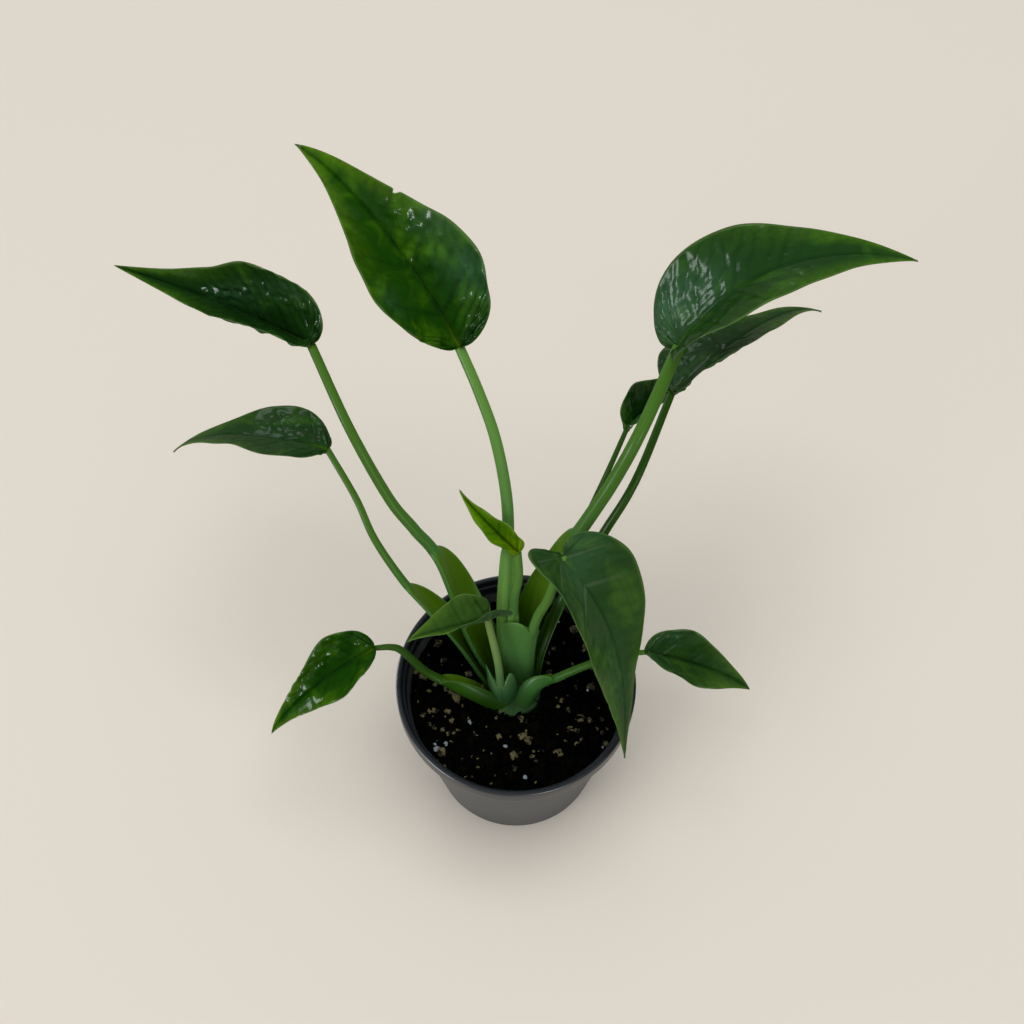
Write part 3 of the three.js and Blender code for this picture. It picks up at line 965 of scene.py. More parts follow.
    def relief(self, t: Array, v: Array, x: Array, y: Array) -> tuple[Array, Array]:
        """Return how far the blade is pushed out of its middle surface, in millimetres.

        Between two side veins it swells to a pillow, |sin(pi * phase)| to a power, strongest near
        the base. On it are low ridges of |sin(3 * pi * phase)|, which random folds push to and fro.
        Those folds and finer dimples pucker it near the base, the dimples at its spots too, and the
        margin waves.

        Args:
            t: Share of the outline, which numbers the side veins.
            v: Share from the midrib to the margin, signed.
            x: Signed distance from the midrib, in shares of the length.
            y: Distance along the midrib, in shares of the length.

        Returns:
            Heights, and how deep each place lies in a crease between ridges, 0 to 1, which the
            finish darkens as painted shade.
        """
        out = np.abs(v)
        belly = 4 * out * (1 - out)
        phase = t * self.veins
        pillow = np.abs(np.sin(np.pi * phase)) ** 0.6
        swell = PILLOW_HEIGHT * belly * pillow * (1 - t)
        mm_x, mm_y = x * self.length, y * self.length
        fold = wavefield(mm_x * 0.6, mm_y * 1.3, FOLD_LENGTH, self.seed)
        crease = np.abs(np.sin(3 * np.pi * phase + 0.5 * fold)) ** 0.8
        ribbed = np.where(v < 0, *self.ribbing) * np.sqrt(belly) * (1 - t)
        ridge = RIDGE_HEIGHT * ribbed * crease
        dimple = wavefield(mm_x, mm_y, DIMPLE_LENGTH, self.seed + 50)
        strength = self.pucker * bell(t, 0.6) * ramp(t, 0.0, 0.06) * np.sqrt(belly)
        pucker = strength * (FOLD_HEIGHT * fold + DIMPLE_HEIGHT * dimple)
        pucker += SPOT_HEIGHT * self.spotted(x, y, [spot.pucker for spot in self.spots]) * dimple
        sway = np.sin(np.pi * t)
        wave = WAVE_HEIGHT * out**2 * sway * np.sin(MARGIN_WAVES * np.pi * t)
        broad = BROAD_HEIGHT * out * sway * wavefield(mm_x, mm_y, BROAD_LENGTH, self.seed + 90)
        return swell + ridge + pucker + wave + broad, ribbed * (1 - crease) ** 1.3

    def grid(self) -> tuple[Array, Array, Array, Array]:
        """Lay out the flat blade in rows along the side veins, from the left margin to the right.

        A vein's root on the midrib lies RIB_SLANT times its reach behind its end on the margin.

        Returns:
            Share of the outline, signed share from midrib to margin, signed distance from the
            midrib and distance along it.
        """
        t = np.linspace(0, 1, self.veins * self.rows_per_vein + 1)
        steps = np.linspace(0, 1, self.columns + 1) ** 1.3
        v = np.concatenate([-steps[:0:-1], steps])
        half = (v >= 0).astype(int)
        edges = np.stack([self.outline(0, t), self.outline(1, t)])[half]
        nick = self.nick[1] * bell(t[:, None] - self.nick[0], NICK_WIDTH) * ramp(v, *NICK_REACH)
        reach, margin_y = edges[..., 0].T * (1 - nick), edges[..., 1].T
        root = np.maximum(0, margin_y - RIB_SLANT * reach)
        root[-1] = 1
        t, v = np.broadcast_arrays(t[:, None], v[None, :])
        return t, v, reach * v, root + (margin_y - root) * np.abs(v)

    def surface(self, sinus: Array) -> Surface:
        """Build both faces of the blade as one closed grid.

        A row goes over the upper face from margin to margin and comes back along the underside.
        The midrib is a groove above and a keel below, each a bell across.

        Args:
            sinus: Where the stalk joins the blade.

        Returns:
            The surface, with its map and marks.
        """
        t, v, x, y = self.grid()
        normal = self.normal(sinus, x, y)
        height, crease = self.relief(t, v, x, y)
        body = self.place(sinus, x, y) + normal * height[..., None]
        fade = 1 - MIDRIB_TAPER * np.clip(y, 0, 1)
        near = np.abs(x) * self.length
        groove = GROOVE_DEPTH * fade * bell(near, GROOVE_WIDTH)
        keel = KEEL_DEPTH * fade * bell(near, 0.5 + 0.9 * fade)
        vein_distance = np.abs((t * self.veins + 0.5) % 1 - 0.5)
        rib = RIB_HEIGHT * bell(vein_distance, RIB_WIDTH) * (1 - np.abs(v))
        thick = self.thickness * (1 - 0.6 * np.abs(v) ** 4) / 2
        above = body + normal * (thick - groove)[..., None]
        below = body - normal * (thick + keel + rib)[..., None]
        ring = np.concatenate([above, below[:, ::-1]], axis=1)

        def both(upper: Array) -> Array:
            """Repeat a number of the upper face on the underside."""
            return np.concatenate([upper, upper[:, ::-1]], axis=1).ravel()

        marks = {
            "under": np.concatenate([np.zeros_like(x), np.ones_like(x)], axis=1).ravel(),
            "reach": both(y),
            "midrib": both(bell(near, 0.7 + 0.6 * fade)),
            # How strongly the painted sheen shows at each place.
            "painted_sheen": both(self.spotted(x, y, [spot.painted_sheen for spot in self.spots])),
            # How deep in a crease each place lies, for the painted shade.
            "crease": both(crease),
        }
        phase = np.stack([both(t * self.veins), both(v)], -1)
        faces = tube_faces(*ring.shape[:2])
        return Surface(ring.reshape(-1, 3), faces, {"blade": phase}, marks)


@dataclass
class Stalk:
    """One petiole, whose foot opens into a sheath.

    Attributes:
        route: Its middle line, from the rhizome to the sinus.
        radius: Its radius at the foot and at the top.
        half_width: The sheath's half width at the foot, measured round its curve.
        share: The share of the route that the sheath takes.
        wrap: How far each wing wraps round.
        facing: The direction that the sheath's back faces, from +X towards +Y.
        upward: How much its hollow side looks up, against how much it looks inwards.
        skew: How much more one wing wraps round than the other.
        ears: How far the right and the left wing stand up at the sheath's top.
        domed: For the right and the left ear, 1 for a rounded and 0 for a pointed one.
        stations: Sections of the mesh.
        sides: Points round a section.
    """

    route: list[Point]
    radius: Pair
    half_width: float
    share: float
    wrap: float
    facing: float
    upward: float = 1.0
    skew: float = 0.0
    ears: Pair = (0.0, 0.0)
    domed: Pair = (0.0, 0.0)
    stations: int = 150
    sides: int = 48

    def axes(self, t: Array) -> tuple[Array, Array, Array, Array]:
        """Return the middle line and the directions that its sections are drawn in.

        The hollow side looks inwards and up, squared to the line, and the side direction is the
        line's crossed with it.

        Args:
            t: Shares of the route.

        Returns:
            Places on the line, and the directions along it, to the side and to the hollow side.
        """
        line = catmull_rom(np.array(self.route, float), t)
        along = np.gradient(line, t, axis=0)
        along /= np.linalg.norm(along, axis=1, keepdims=True)
        out = np.radians(self.facing)
        inward = np.array([-np.cos(out), -np.sin(out), self.upward])
        inner = inward - along * (along @ inward)[:, None]
        inner /= np.linalg.norm(inner, axis=1, keepdims=True)
        return line, along, np.cross(along, inner), inner

    def surface(self) -> Surface:
        """Build the stalk as a closed tube.

        A section is a flattened circle bent into a crescent: an angle round the tube gives a place
        across, sin(angle), which runs round an arc of the wrap angle, and a depth, cos(angle),
        which thins towards the wings. The skew adds a square of the place across to the arc. The
        sheath s fades as sqrt(1 - u^3) over its share, and an ear lifts its wing along the stalk
        by s, or by 4s(1 - s) where it is domed.

        Returns:
            The surface, with its map and marks.
        """
        t = np.linspace(0, 1, self.stations)
        line, along, side, inner = self.axes(t)
        sheath = np.sqrt(1 - np.clip(t / self.share, 0, 1) ** 3)[:, None]
        half = (self.radius[0] + (self.radius[1] - self.radius[0]) * t)[:, None]
        turn = np.radians(self.wrap) * sheath + LEAST_TURN
        bow = (half + (self.half_width - self.radius[0]) * sheath) / turn
        angle = np.linspace(0, 2 * np.pi, self.sides, endpoint=False)
        across, depth = np.sin(angle), np.cos(angle)
        core = half * (1 - 0.4 * sheath)
        thinned = core * depth * (1 - 0.75 * sheath * ramp(np.abs(across), 0.1, 0.75))
        swing = (across + self.skew * sheath * across**2) * turn
        beside = (bow + thinned) * np.sin(swing)
        towards = bow - (bow + thinned) * np.cos(swing)
        ear = np.where(across < 0, *self.ears) * across**2
        dome = np.where(across < 0, *self.domed)
        lift = ear * sheath * (1 + (DOME_GAIN - 1) * dome) * (1 - dome * sheath)
        grid = line[:, None] + sum(
            amount[..., None] * axis[:, None]
            for amount, axis in ((beside, side), (towards, inner), (lift, along))
        )
        ends = np.repeat(line[[0, -1], None], self.sides, axis=1)
        grid = np.concatenate([ends[:1], grid, ends[1:]])
        t = np.concatenate([t[:1], t, t[-1:]])[:, None]
        sheath = np.concatenate([sheath[:1], sheath, sheath[-1:]])
        shape = grid.shape[:2]
        hollow = np.broadcast_to(ramp(-depth, -0.1, 0.4), shape) * ramp(sheath, 0.0, 0.5)
        wings = np.broadcast_to(bell(depth, 0.25), shape) * ramp(sheath, 0.1, 0.6)
        turns = angle / (2 * np.pi)
        places = np.stack([np.broadcast_to(t, shape), np.broadcast_to(turns, shape)], -1)
        return Surface(
            grid.reshape(-1, 3),
            tube_faces(*shape),
            {"stalk": places.reshape(-1, 2)},
            {"inner": hollow.ravel(), "rim": wings.ravel()},
        )


class BladeTone(Enum):
    """The blades' skins."""

    BRIGHT = BladeFinish(
        "blade_bright", "blade_bright", deep=srgb(26, 66, 8), fresh=srgb(62, 114, 8),
        flush=srgb(108, 144, 10), fresh_share=0.6, gloss=0.17,
    )
    DEEP = BladeFinish(
        "blade_deep", "blade_deep", deep=srgb(26, 60, 18), fresh=srgb(42, 86, 24),
        flush=srgb(92, 138, 14), fresh_share=0.4, gloss=0.19,
    )
    SOFT = BladeFinish(
        "blade_soft", "blade_deep", deep=srgb(36, 68, 26), fresh=srgb(52, 86, 30),
        flush=srgb(90, 132, 16), fresh_share=0.5, gloss=0.24, vein=srgb(112, 130, 96),
        vein_end=0.4,
    )
    TENDER = BladeFinish(
        "blade_tender", "blade_deep", deep=srgb(62, 94, 36), fresh=srgb(86, 120, 46),
        flush=srgb(110, 146, 24), fresh_share=0.5, gloss=0.26,
    )
    YOUNG = BladeFinish(
        "blade_young", "blade_young", deep=srgb(72, 118, 4), fresh=srgb(122, 158, 6),
        flush=srgb(152, 172, 30), fresh_share=0.9, gloss=0.3,
    )


class StalkTone(Enum):
    """The petioles' skins: the colours of the foot, the top and the sheath's lining."""

    SAP = StalkFinish("stalk_sap", srgb(84, 134, 70), srgb(92, 136, 58), srgb(112, 160, 74))
    MOSS = StalkFinish("stalk_moss", srgb(66, 116, 54), srgb(68, 108, 34), srgb(74, 110, 12))
    SHADE = StalkFinish("stalk_shade", srgb(50, 92, 32), srgb(40, 76, 10), srgb(32, 58, 12))
    DUSK = StalkFinish("stalk_dusk", srgb(46, 88, 14), srgb(48, 80, 22), srgb(80, 116, 20))
    PALE = StalkFinish("stalk_pale", srgb(64, 118, 72), srgb(124, 150, 82), srgb(80, 122, 60))


@dataclass
class Leaf:
    """A stalk and the blade on its end.

    Attributes:
        name: What its pieces are named after.
        blade: The blade.
        stalk: The stalk, which ends at the blade's sinus.
        blade_tone: The blade's skin.
        stalk_tone: The stalk's skin.
    """

    name: str
    blade: Blade
    stalk: Stalk
    blade_tone: BladeTone
    stalk_tone: StalkTone

    def build(self, skins: dict[str, bpy.types.Material]) -> None:
        """Build and dress both pieces.

        Args:
            skins: The materials made so far, by finish name, which this may add to.
        """
        blade_finish, stalk_finish = self.blade_tone.value, self.stalk_tone.value
        for finish in (blade_finish, stalk_finish):
            if finish.name not in skins:
                skins[finish.name] = finish.material()
        sinus = np.array(self.stalk.route[-1], float)
        blade = self.blade.surface(sinus).build(f"leaf_{self.name}")
        settle(blade, skins[blade_finish.name], blade_finish.slot, f"blade_{self.name}")
        stalk = self.stalk.surface().build(f"stalk_{self.name}")
        settle(stalk, skins[stalk_finish.name], "petiole", f"petiole_{self.name}")


LEAVES = (
    Leaf(
        "young",
        Blade(
            length=37.5, azimuth=139, pitch=17, roll=8, bend=18, hook=30, twist=33, fold=(42, 39),
            cup=(2.8, 2.4), width=(0.9, 0.95), lobe=(0.1, 0.2), lobe_curl=80, drip=1, veins=5,
            pucker=0.5, seed=11,
        ),
        Stalk(
            route=[(-1, 5, 66), (-1, 20, 120), (1, 25.5, 136), (0.5, 30.5, 149)],
            radius=(2.2, 1.8), half_width=3.2, share=0.3, wrap=60, facing=80,
        ),
        BladeTone.YOUNG,
        StalkTone.SAP,
    ),
    Leaf(
        "back",
        Blade(
            length=111, azimuth=124.5, pitch=34, roll=12, bend=-14, hook=-36, twist=-3, sweep=-0.16,
            fold=(34.5, 27), cup=(2.4, 1.2), width=(1.06, 1.05), lobe=(-0.45, -0.1), lobe_curl=70,
            drip=1.1, pucker=1.6, ribbing=(0.2, 1.6), seed=12, nick=(0.735, 0.16),
            spots=(
                Spot(0.08, 0.45, 0.05, pucker=1.2), Spot(0.02, 0.37, 0.05, pucker=1),
                Spot(0.04, 0.52, 0.04, pucker=1), Spot(0.09, 0.32, 0.06, pucker=1.2),
                Spot(0.24, 0.22, 0.12, painted_sheen=0.8), Spot(0.2, 0.42, 0.1, painted_sheen=0.5),
                Spot(-0.22, 0.25, 0.06, painted_sheen=0.4, pucker=0.4),
            ),
        ),
        Stalk(
            route=[
                (-4, 9, 66), (-4.5, 22, 110), (-3.5, 36, 137), (-4, 49.5, 161), (-8.5, 63.5, 185),
                (-15.5, 77, 201), (-23, 90, 213),
            ],
            radius=(2.9, 2.1), half_width=5, share=0.35, wrap=50, facing=95,
        ),
        BladeTone.BRIGHT,
        StalkTone.SAP,
    ),
    Leaf(
        "upper_right",
        Blade(
            length=102, azimuth=40.5, pitch=58, roll=44.5, bend=-78, hook=4.5, twist=-14,
            sweep=0.14, fold=(14, 4.5), cup=(1, -0.4), width=(1, 0.99), lobe=(0.75, 0.2),
            lobe_curl=50, drip=0.27, pucker=0.9, ribbing=(1.3, 0.7), seed=13,
            spots=(
                Spot(-0.15, 0.1, 0.14, painted_sheen=0.7), Spot(-0.2, 0, 0.1, painted_sheen=0.6),
                Spot(-0.1, 0.25, 0.1, painted_sheen=0.35, pucker=0.2),
            ),
        ),
        Stalk(
            route=[
                (5, 8, 66), (8, 26.5, 108), (20, 35.5, 138), (30, 40.5, 160), (40, 47, 181),
                (50, 57, 203), (64.5, 83.5, 222),
            ],
            radius=(3.4, 2.6), half_width=7.5, share=0.43, wrap=65, facing=50,
        ),
        BladeTone.DEEP,
        StalkTone.MOSS,
    ),
    Leaf(
        "front_large",
        Blade(
            length=105, azimuth=-37, pitch=-32, roll=22.5, bend=-65, hook=27, twist=-1, sweep=0.09,
            lean=-2, fold=(3.5, 0.5), cup=(2.5, -0.9), width=(0.85, 0.88), lobe=(0.25, 1.3),
            lobe_curl=-55, drip=0.2, pucker=0.7, ribbing=(0.7, 0.5), seed=14,
            spots=(
                Spot(-0.12, 0.03, 0.1, painted_sheen=0.5), Spot(0.02, 0.08, 0.08, painted_sheen=0.4),
                Spot(0.06, 0.6, 0.08, painted_sheen=0.3, pucker=1.6),
                Spot(0.05, 0.45, 0.06, painted_sheen=0.2, pucker=1.6),
            ),
        ),
        Stalk(
            route=[(5.5, 3, 66), (6, 11, 98), (9, 14, 120), (14, 14.5, 140), (18.5, 18, 168)],
            radius=(2.3, 1.9), half_width=10.5, share=0.38, wrap=55, facing=-78, upward=0.3,
            skew=0.95, ears=(0, 7), domed=(0, 1),
        ),
        BladeTone.SOFT,
        StalkTone.SAP,
    ),
    Leaf(
        "upper_left",
        Blade(
            length=99, azimuth=142.5, pitch=-8, roll=10.5, bend=11, hook=5, twist=28, sweep=-0.15,
            fold=(50.5, 41), cup=(2.1, 2.7), width=(0.81, 1.09), lobe=(0.2, 0.75), lobe_curl=75,
            drip=1, pucker=1.8, ribbing=(0.7, 1.2), seed=15,
            spots=(
                Spot(0.05, 0.5, 0.07, painted_sheen=0.3, pucker=1),
                Spot(0.08, 0.42, 0.05, painted_sheen=0.2, pucker=1),
                Spot(0.12, 0.33, 0.08, painted_sheen=0.4, pucker=1),
                Spot(0.2, 0.2, 0.06, painted_sheen=0.3, pucker=1),
                Spot(0.24, 0.1, 0.07, painted_sheen=0.4, pucker=1),
            ),
        ),
        Stalk(
            route=[
                (-9, 7, 66), (-20.5, 15.5, 97), (-33, 35.5, 132), (-43.5, 42, 149),
                (-53.5, 48.5, 164), (-68, 64, 193), (-83, 91, 213),
            ],
            radius=(3, 1.9), half_width=11.5, share=0.37, wrap=62, facing=205, skew=0.5,
        ),
        BladeTone.DEEP,
        StalkTone.MOSS,
    ),
    Leaf(
        "lower_left",
        Blade(
            length=77, azimuth=164.5, pitch=7, roll=-30.5, bend=-36.5, hook=-23, twist=-3,
            sweep=0.11, fold=(1.5, -4), cup=(0.4, 2.9), width=(0.94, 1.01), lobe=(-0.35, -0.1),
            lobe_curl=90, drip=0.35, veins=7, ribbing=(0.4, 0.6), seed=16,
            spots=(
                Spot(0.13, 0.3, 0.12, painted_sheen=0.1, pucker=0.6),
            ),
        ),
        Stalk(
            route=[
                (-10, 2, 66), (-26, 13.5, 97), (-39, 22, 114), (-49.5, 28.5, 129), (-60.5, 39, 146),
                (-68, 52, 158), (-79.5, 67.5, 172),
            ],
            radius=(2.2, 1.35), half_width=8.5, share=0.46, wrap=62, facing=215, skew=0.4,
        ),
        BladeTone.DEEP,
        StalkTone.MOSS,
    ),
    Leaf(
        "middle_right",
        Blade(
            length=91, azimuth=44, pitch=5.5, roll=49.5, bend=-18, hook=-29, twist=-19.5,
            sweep=-0.12, fold=(4.5, 3), cup=(1.6, 0.05), width=(0.99, 0.98), lobe=(-0.25, 0.2),
            lobe_curl=65, drip=0.7, ribbing=(0.5, 0.3), seed=17,
            spots=(
                Spot(-0.1, 0.1, 0.15, painted_sheen=0.4),
            ),
        ),
        Stalk(
            route=[
                (9, 4, 66), (12, 13, 92), (23.5, 30, 121), (38, 41.5, 149), (50, 53, 172),
                (64, 80, 196),
            ],
            radius=(2.6, 1.6), half_width=4.2, share=0.35, wrap=60, facing=30,
        ),
        BladeTone.DEEP,
        StalkTone.SHADE,
    ),
    Leaf(
        "small_rear",
        Blade(
            length=72, azimuth=65, pitch=-34, roll=1, bend=24.5, hook=-17, twist=-21.5, sweep=0.17,
            fold=(45.5, 26.5), cup=(3.1, 2.7), width=(0.61, 0.78), lobe=(0.3, 0.25), lobe_curl=75,
            drip=0.55, veins=6, pucker=0.8, seed=18,
        ),
        Stalk(
            route=[
                (6, 12, 66), (15, 36, 108), (26, 49, 127), (37.5, 61.5, 157), (46.6, 75.5, 175.5),
            ],
            radius=(1.8, 1.05), half_width=3, share=0.3, wrap=50, facing=60,
        ),
        BladeTone.DEEP,
        StalkTone.SHADE,
    ),
    Leaf(
        "cupped_centre",
        Blade(
            length=42, azimuth=204, pitch=9.5, roll=-4.5, bend=44, hook=-37.5, twist=-15,
            sweep=-0.13, fold=(34, 21.5), cup=(3.1, 1.6), width=(1.09, 0.99), lobe=(1.9, 0.6),
            lobe_curl=-28, drip=0.2, veins=5, pucker=0.7, seed=19,
            spots=(
                Spot(-0.05, -0.05, 0.12, painted_sheen=0.6),
            ),
        ),
        Stalk(
            route=[(-6, -6, 66), (-7, -2, 86), (-8, 2.5, 99), (-11.5, 11.5, 116), (-12.5, 14, 121)],
            radius=(1.9, 1.6), half_width=9, share=0.24, wrap=70, facing=-95, upward=0.3,
            ears=(9, 20), domed=(1, 0),
        ),
        BladeTone.TENDER,
        StalkTone.PALE,
    ),
    Leaf(
        "front_left",
        Blade(
            length=62, azimuth=205, pitch=-13, roll=8, bend=-11.5, hook=-31.5, twist=24,
            sweep=-0.14, fold=(28.5, 31.5), cup=(2.4, 1.2), width=(1.14, 0.95), lobe=(-0.4, 0),
            lobe_curl=70, drip=1, veins=6, pucker=1.2, seed=20,
            spots=(
                Spot(0.14, 0.5, 0.06, pucker=1), Spot(0.09, 0.65, 0.06, pucker=1),
                Spot(0.14, 0.35, 0.05, pucker=0.8), Spot(0.28, 0.25, 0.05, pucker=0.8),
            ),
        ),
        Stalk(
            route=[
                (-8, -6, 66), (-21, -3.5, 76.5), (-33, 0.5, 84), (-41, 2.5, 91), (-50, 5.5, 105),
                (-55, 6, 108), (-62, 6.5, 106),
            ],
            radius=(2.7, 1.2), half_width=10, share=0.35, wrap=105, facing=248, upward=0.7,
        ),
        BladeTone.BRIGHT,
        StalkTone.DUSK,
    ),
    Leaf(
        "front_right",
        Blade(
            length=58, azimuth=2.5, pitch=-25.5, roll=-14, bend=3.5, hook=-26.5, twist=-22,
            sweep=0.14, fold=(41.5, 27), cup=(1.4, 1.5), width=(0.94, 1.03), lobe=(0.2, -0.55),
            lobe_curl=80, drip=0.4, veins=6, seed=21,
            spots=(
                Spot(-0.2, 0.17, 0.08, painted_sheen=0.5, pucker=0.5),
                Spot(0, 0.06, 0.06, painted_sheen=0.5, pucker=0.5),
            ),
        ),
        Stalk(
            route=[
                (4, -7, 66), (10, -1, 79), (20, 1.5, 87), (33, 3, 97), (44, 4, 104),
                (56.5, 4.5, 106),
            ],
            radius=(2.5, 1.15), half_width=8.4, share=0.36, wrap=105, facing=-75, upward=0.45,
            ears=(0, 2),
        ),
        BladeTone.SOFT,
        StalkTone.MOSS,
    ),
)


# Pot and soil

SOIL_LEVEL = 71.0
# The middle of the rhizome, round which the stalks stand.
CROWN = (-1.0, 2.0)


def rounded(profile: Sequence[Pair], radius: float, steps: int = 5) -> Array:
    """Round the corners of a profile.

    Each inner corner becomes the quadratic curve (1-s)^2 A + 2s(1-s) P + s^2 B, where P is the
    corner and A and B lie on its two sides, a radius away or nearly halfway along a short side.

    Args:
        profile: Radius and height, point after point.
        radius: How far from a corner the rounding starts.
        steps: How many pieces a corner is made of.

    Returns:
        The rounded profile.
    """
    points = np.array(profile, float)
    legs = np.diff(points, axis=0)
    lengths = np.linalg.norm(legs, axis=1, keepdims=True)
    reach = np.minimum(radius, lengths * 0.45)
    units = legs / lengths
    corner = points[1:-1]
    before = corner - units[:-1] * reach[:-1]
    after = corner + units[1:] * reach[1:]
    s = np.linspace(0, 1, steps + 1)[None, :, None]
    curves = (
        (1 - s) ** 2 * before[:, None] + 2 * s * (1 - s) * corner[:, None] + s**2 * after[:, None]
    )
    return np.vstack([points[:1], curves.reshape(-1, 2), points[-1:]])


def turned(profile: Array, sides: int) -> tuple[Array, Array]:
    """Turn a profile about the Z axis.

    Args:
        profile: Radius and height, one point per row, from axis to axis.
        sides: Pieces in a full turn.

    Returns:
        Points and quads.
    """
    angle = np.linspace(0, 2 * np.pi, sides, endpoint=False)
    ring = np.stack([np.cos(angle), np.sin(angle)], -1)
    flat = profile[:, None, :1] * ring[None]
    height = np.broadcast_to(profile[:, None, 1:], (*flat.shape[:2], 1))
    points = np.concatenate([flat, height], -1)
    return points.reshape(-1, 3), tube_faces(len(profile), sides)


@dataclass
class Pot:
    """The nursery pot.

    Attributes:
        base: Radius of the foot.
        shoulder: Radius of the wall where the rim band starts.
        rim: Radius of the rim band.
        height: Full height.
        band: Height of the rim band.
        wall: Thickness of the wall and the floor.
        foot: Width of the flat ring at the edge of the underside.
        chamfer: How far in and how far up the band's lower edge is cut away.
        lip: Width of the rim's flat top.
        ledges: How far in and how far down each corner of the two ledges inside the rim lies.
        rounding: How far from a corner its rounding starts.
        holes: Drainage holes.
        hole_circle: Radius of the circle that they stand on.
        hole_radius: Their own radius.
        sides: Pieces in a full turn.
    """

    base: float = 39.0
    shoulder: float = 51.0
    rim: float = 54.0
    height: float = 86.0
    band: float = 8.5
    wall: float = 1.5
    foot: float = 4.0
    chamfer: Pair = (0.8, 1.0)
    lip: float = 2.4
    ledges: tuple[Pair, ...] = ((2.8, 3.5), (4.0, 3.8), (4.5, 9.0))
    rounding: float = 1.1
    holes: int = 6
    hole_circle: float = 28.0
    hole_radius: float = 3.5
    sides: int = 192

    def inner_radius(self, height: float) -> float:
        """Return the wall's inner radius at a height."""
        share = height / (self.height - self.band)
        return self.base + (self.shoulder - self.base) * share - self.wall

    def profile(self) -> Array:
        """Draw the pot's section, from the middle of the underside to the middle of the floor.

        Returns:
            Radius and height along it, with rounded corners.
        """
        top, rim = self.height, self.rim
        section = [
            (0, 0),
            (self.base - self.foot, 0),
            (self.base, 0),
            (self.shoulder, top - self.band),
            (rim - self.chamfer[0], top - self.band),
            (rim, top - self.band + self.chamfer[1]),
            (rim, top),
            (rim - self.lip, top),
            *((rim - inwards, top - down) for inwards, down in self.ledges),
            (self.inner_radius(SOIL_LEVEL), SOIL_LEVEL),
            (self.inner_radius(self.wall), self.wall),
            (0, self.wall),
        ]
        return rounded(section, self.rounding)

    def drill(self, index: int) -> bpy.types.Object:
        """Make the cylinder that bores a drainage hole.

        Args:
            index: The hole's number.

        Returns:
            The cylinder, which reaches through the floor.
        """
        angle = 2 * math.pi * index / self.holes
        across = self.hole_circle * MM
        bpy.ops.mesh.primitive_cylinder_add(
            vertices=32,
            radius=self.hole_radius * MM,
            depth=4 * self.wall * MM,
            location=(across * math.cos(angle), across * math.sin(angle), 0),
        )
        return bpy.context.object

    def build(self) -> None:
        """Build the pot, bore its drainage holes and dress it."""
        shell = Surface(*turned(self.profile(), self.sides))
        body = shell.build("nursery_pot", sharp_above=40)
        drills = [self.drill(index) for index in range(self.holes)]
        for drill in drills:
            modifier = body.modifiers.new("hole", "BOOLEAN")
            modifier.object = drill
            modifier.solver = "EXACT"
        bpy.context.view_layer.objects.active = body
        for modifier in list(body.modifiers):
            bpy.ops.object.modifier_apply(modifier=modifier.name)
        for drill in drills:
            bpy.data.objects.remove(drill)
        settle(body, PotPlastic().material(), "pot", "pot")


@dataclass(frozen=True)
class Grains:
    """One kind of grain, scattered over the soil.

    Attributes:
        name: The piece's name.
        count: How many.
        sizes: Smallest and largest diameter, small ones being commoner.
        detail: The subdivisions of the ball that each is made from.
        sunk: Share of its height that is in the soil.
        seed: Picks places and forms.
        squash: Height against width.
        stretch: Least and greatest stretch along each of its two level sides.
        lumpiness: How far its points are pushed in and out.
        rarity: The power of a random share that makes large ones rare.
        spread: How much of the surface's radius they lie on.
        sharp_above: Edges that turn more than this stay sharp.
    """

    name: str
    count: int
    sizes: Pair
    detail: int
    sunk: float
    seed: int
    squash: float = 0.75
    stretch: tuple[Pair, Pair] = ((0.75, 1.3), (0.75, 1.1))
    lumpiness: float = 0.28
    rarity: float = 2.2
    spread: float = 0.985
    sharp_above: float = 40.0


